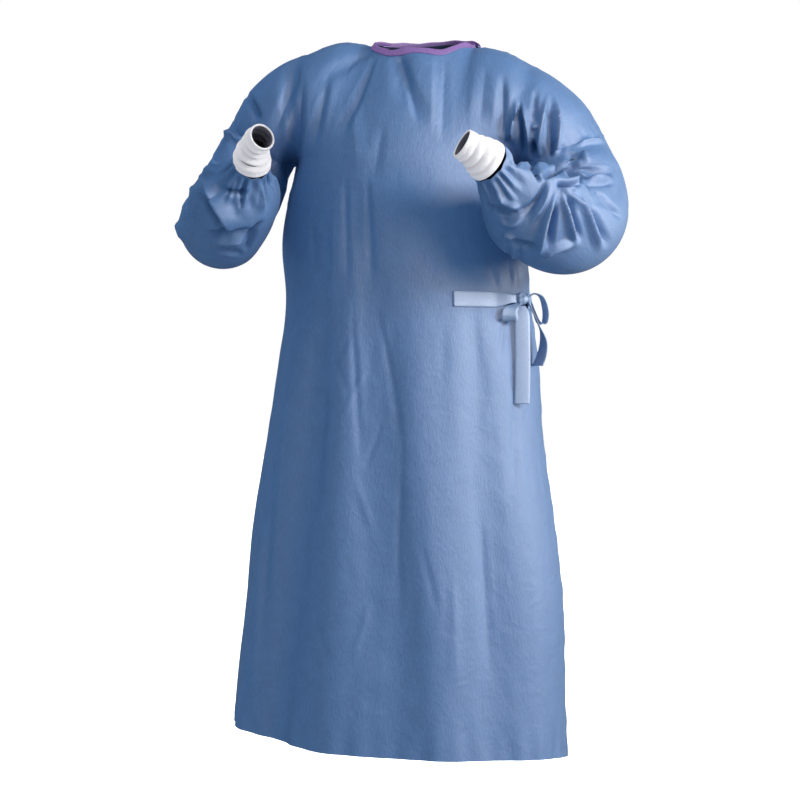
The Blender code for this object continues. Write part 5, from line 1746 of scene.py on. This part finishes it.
def hanging_tape(table, count, curl):
    """Sections of a tape that hangs from the knot, a little curled across its width."""
    rows = np.array([spline(table, i / (count - 1)) for i in range(count)])
    centres = knot_at + rows[:, :3]
    facing = np.radians(rows[:, 3])
    across = np.stack([np.cos(facing), np.sin(facing), np.zeros(count)], axis=1)
    along = np.gradient(centres, axis=0)
    away = np.cross(along, across)
    away /= np.linalg.norm(away, axis=1)[:, None]
    sections = []
    for k in range(count):
        section = np.array(tape_section(centres[k], across[k], away[k], rows[k, 4], TIE))
        offset = (section - centres[k]) @ across[k] / (0.5 * rows[k, 4])
        sections.append(section + away[k] * (curl * (np.clip(np.abs(offset), 0.0, 1.0) ** 2))[:, None])
    return np.array(sections)


tape_pale = woven_tape("pale_tape", TAPE_DARK, TAPE_LIGHT, 0.0004, 1.9)
knot_at = on_gown(KNOT_AT, TIE_Z, KNOT_STAND)[0]
tab, tab_middle, tab_ways = tape_on_gown(TAB_START, KNOT_AT - TAB_END, 48)
# Stitches run along the tab's lower fold as far as the knot, and across it where it begins
low = tab_middle + tab_ways * (0.5 * TIE + EDGE_FOLD + 0.0001) - up * STITCH_REACH
begins = tab_middle[2:3] + tab_ways[2:3] * (0.5 * TIE + 0.0002)
begins = begins + np.linspace(-STITCH_REACH, STITCH_REACH, 8)[:, None] * up
tab_thread = sew_line("tab_stitches", [low[1:-14], begins], thread("pale_thread", THREAD_PALE))
tape_piece("waist_tab", tab, tape_pale, "tie_tab")
wrap, _, _ = tape_on_gown(KNOT_AT + WRAP_START, WRAP_END, 110)
tape_piece("waist_wrap", wrap, tape_pale, "tie_wrap")
for name, table, node, count, curl, length in (
    ("bow_long_tail", LONG_TAIL, "tie_tail_long", 60, -0.0008, 0.165),
    ("bow_short_tail", SHORT_TAIL, "tie_tail_short", 48, 0.0012, 0.115),
    ("bow_front_loop", FRONT_LOOP, "tie_loop_front", 60, 0.0006, 0.08),
    ("bow_back_loop", BACK_LOOP, "tie_loop_back", 70, 0.0008, 0.11),
):
    sections = hanging_tape(table, count, curl)
    tape_piece(name, sections, tape_pale, node)

# The knot itself: one turn of tape pulled tight over the others, so it is full of small pleats
KNOT_RINGS, KNOT_POINTS = 28, 48
knot_rings = []
for j in range(KNOT_RINGS):
    s = j / (KNOT_RINGS - 1)
    reach = math.sin(math.pi * mix(0.04, 0.96, s)) ** 0.55
    along = (s - 0.5) * KNOT_SIZE[0]
    turns = 2.0 * math.pi * np.arange(KNOT_POINTS) / KNOT_POINTS
    pleats = 1.0 + 0.07 * np.sin(3.0 * turns + 5.0 * s) + 0.05 * math.sin(17.0 * s)
    pleats += 0.04 * np.sin(9.0 * s + 7.0 * turns)
    ring = np.zeros((KNOT_POINTS, 3))
    ring[:, 0] = along
    ring[:, 1] = 0.5 * KNOT_SIZE[1] * reach * pleats * np.cos(turns)
    ring[:, 2] = 0.5 * KNOT_SIZE[2] * reach * pleats * np.sin(turns)
    knot_rings.append(knot_at + ring)
tape_piece("bow_knot", np.array(knot_rings), tape_pale, "tie_knot")
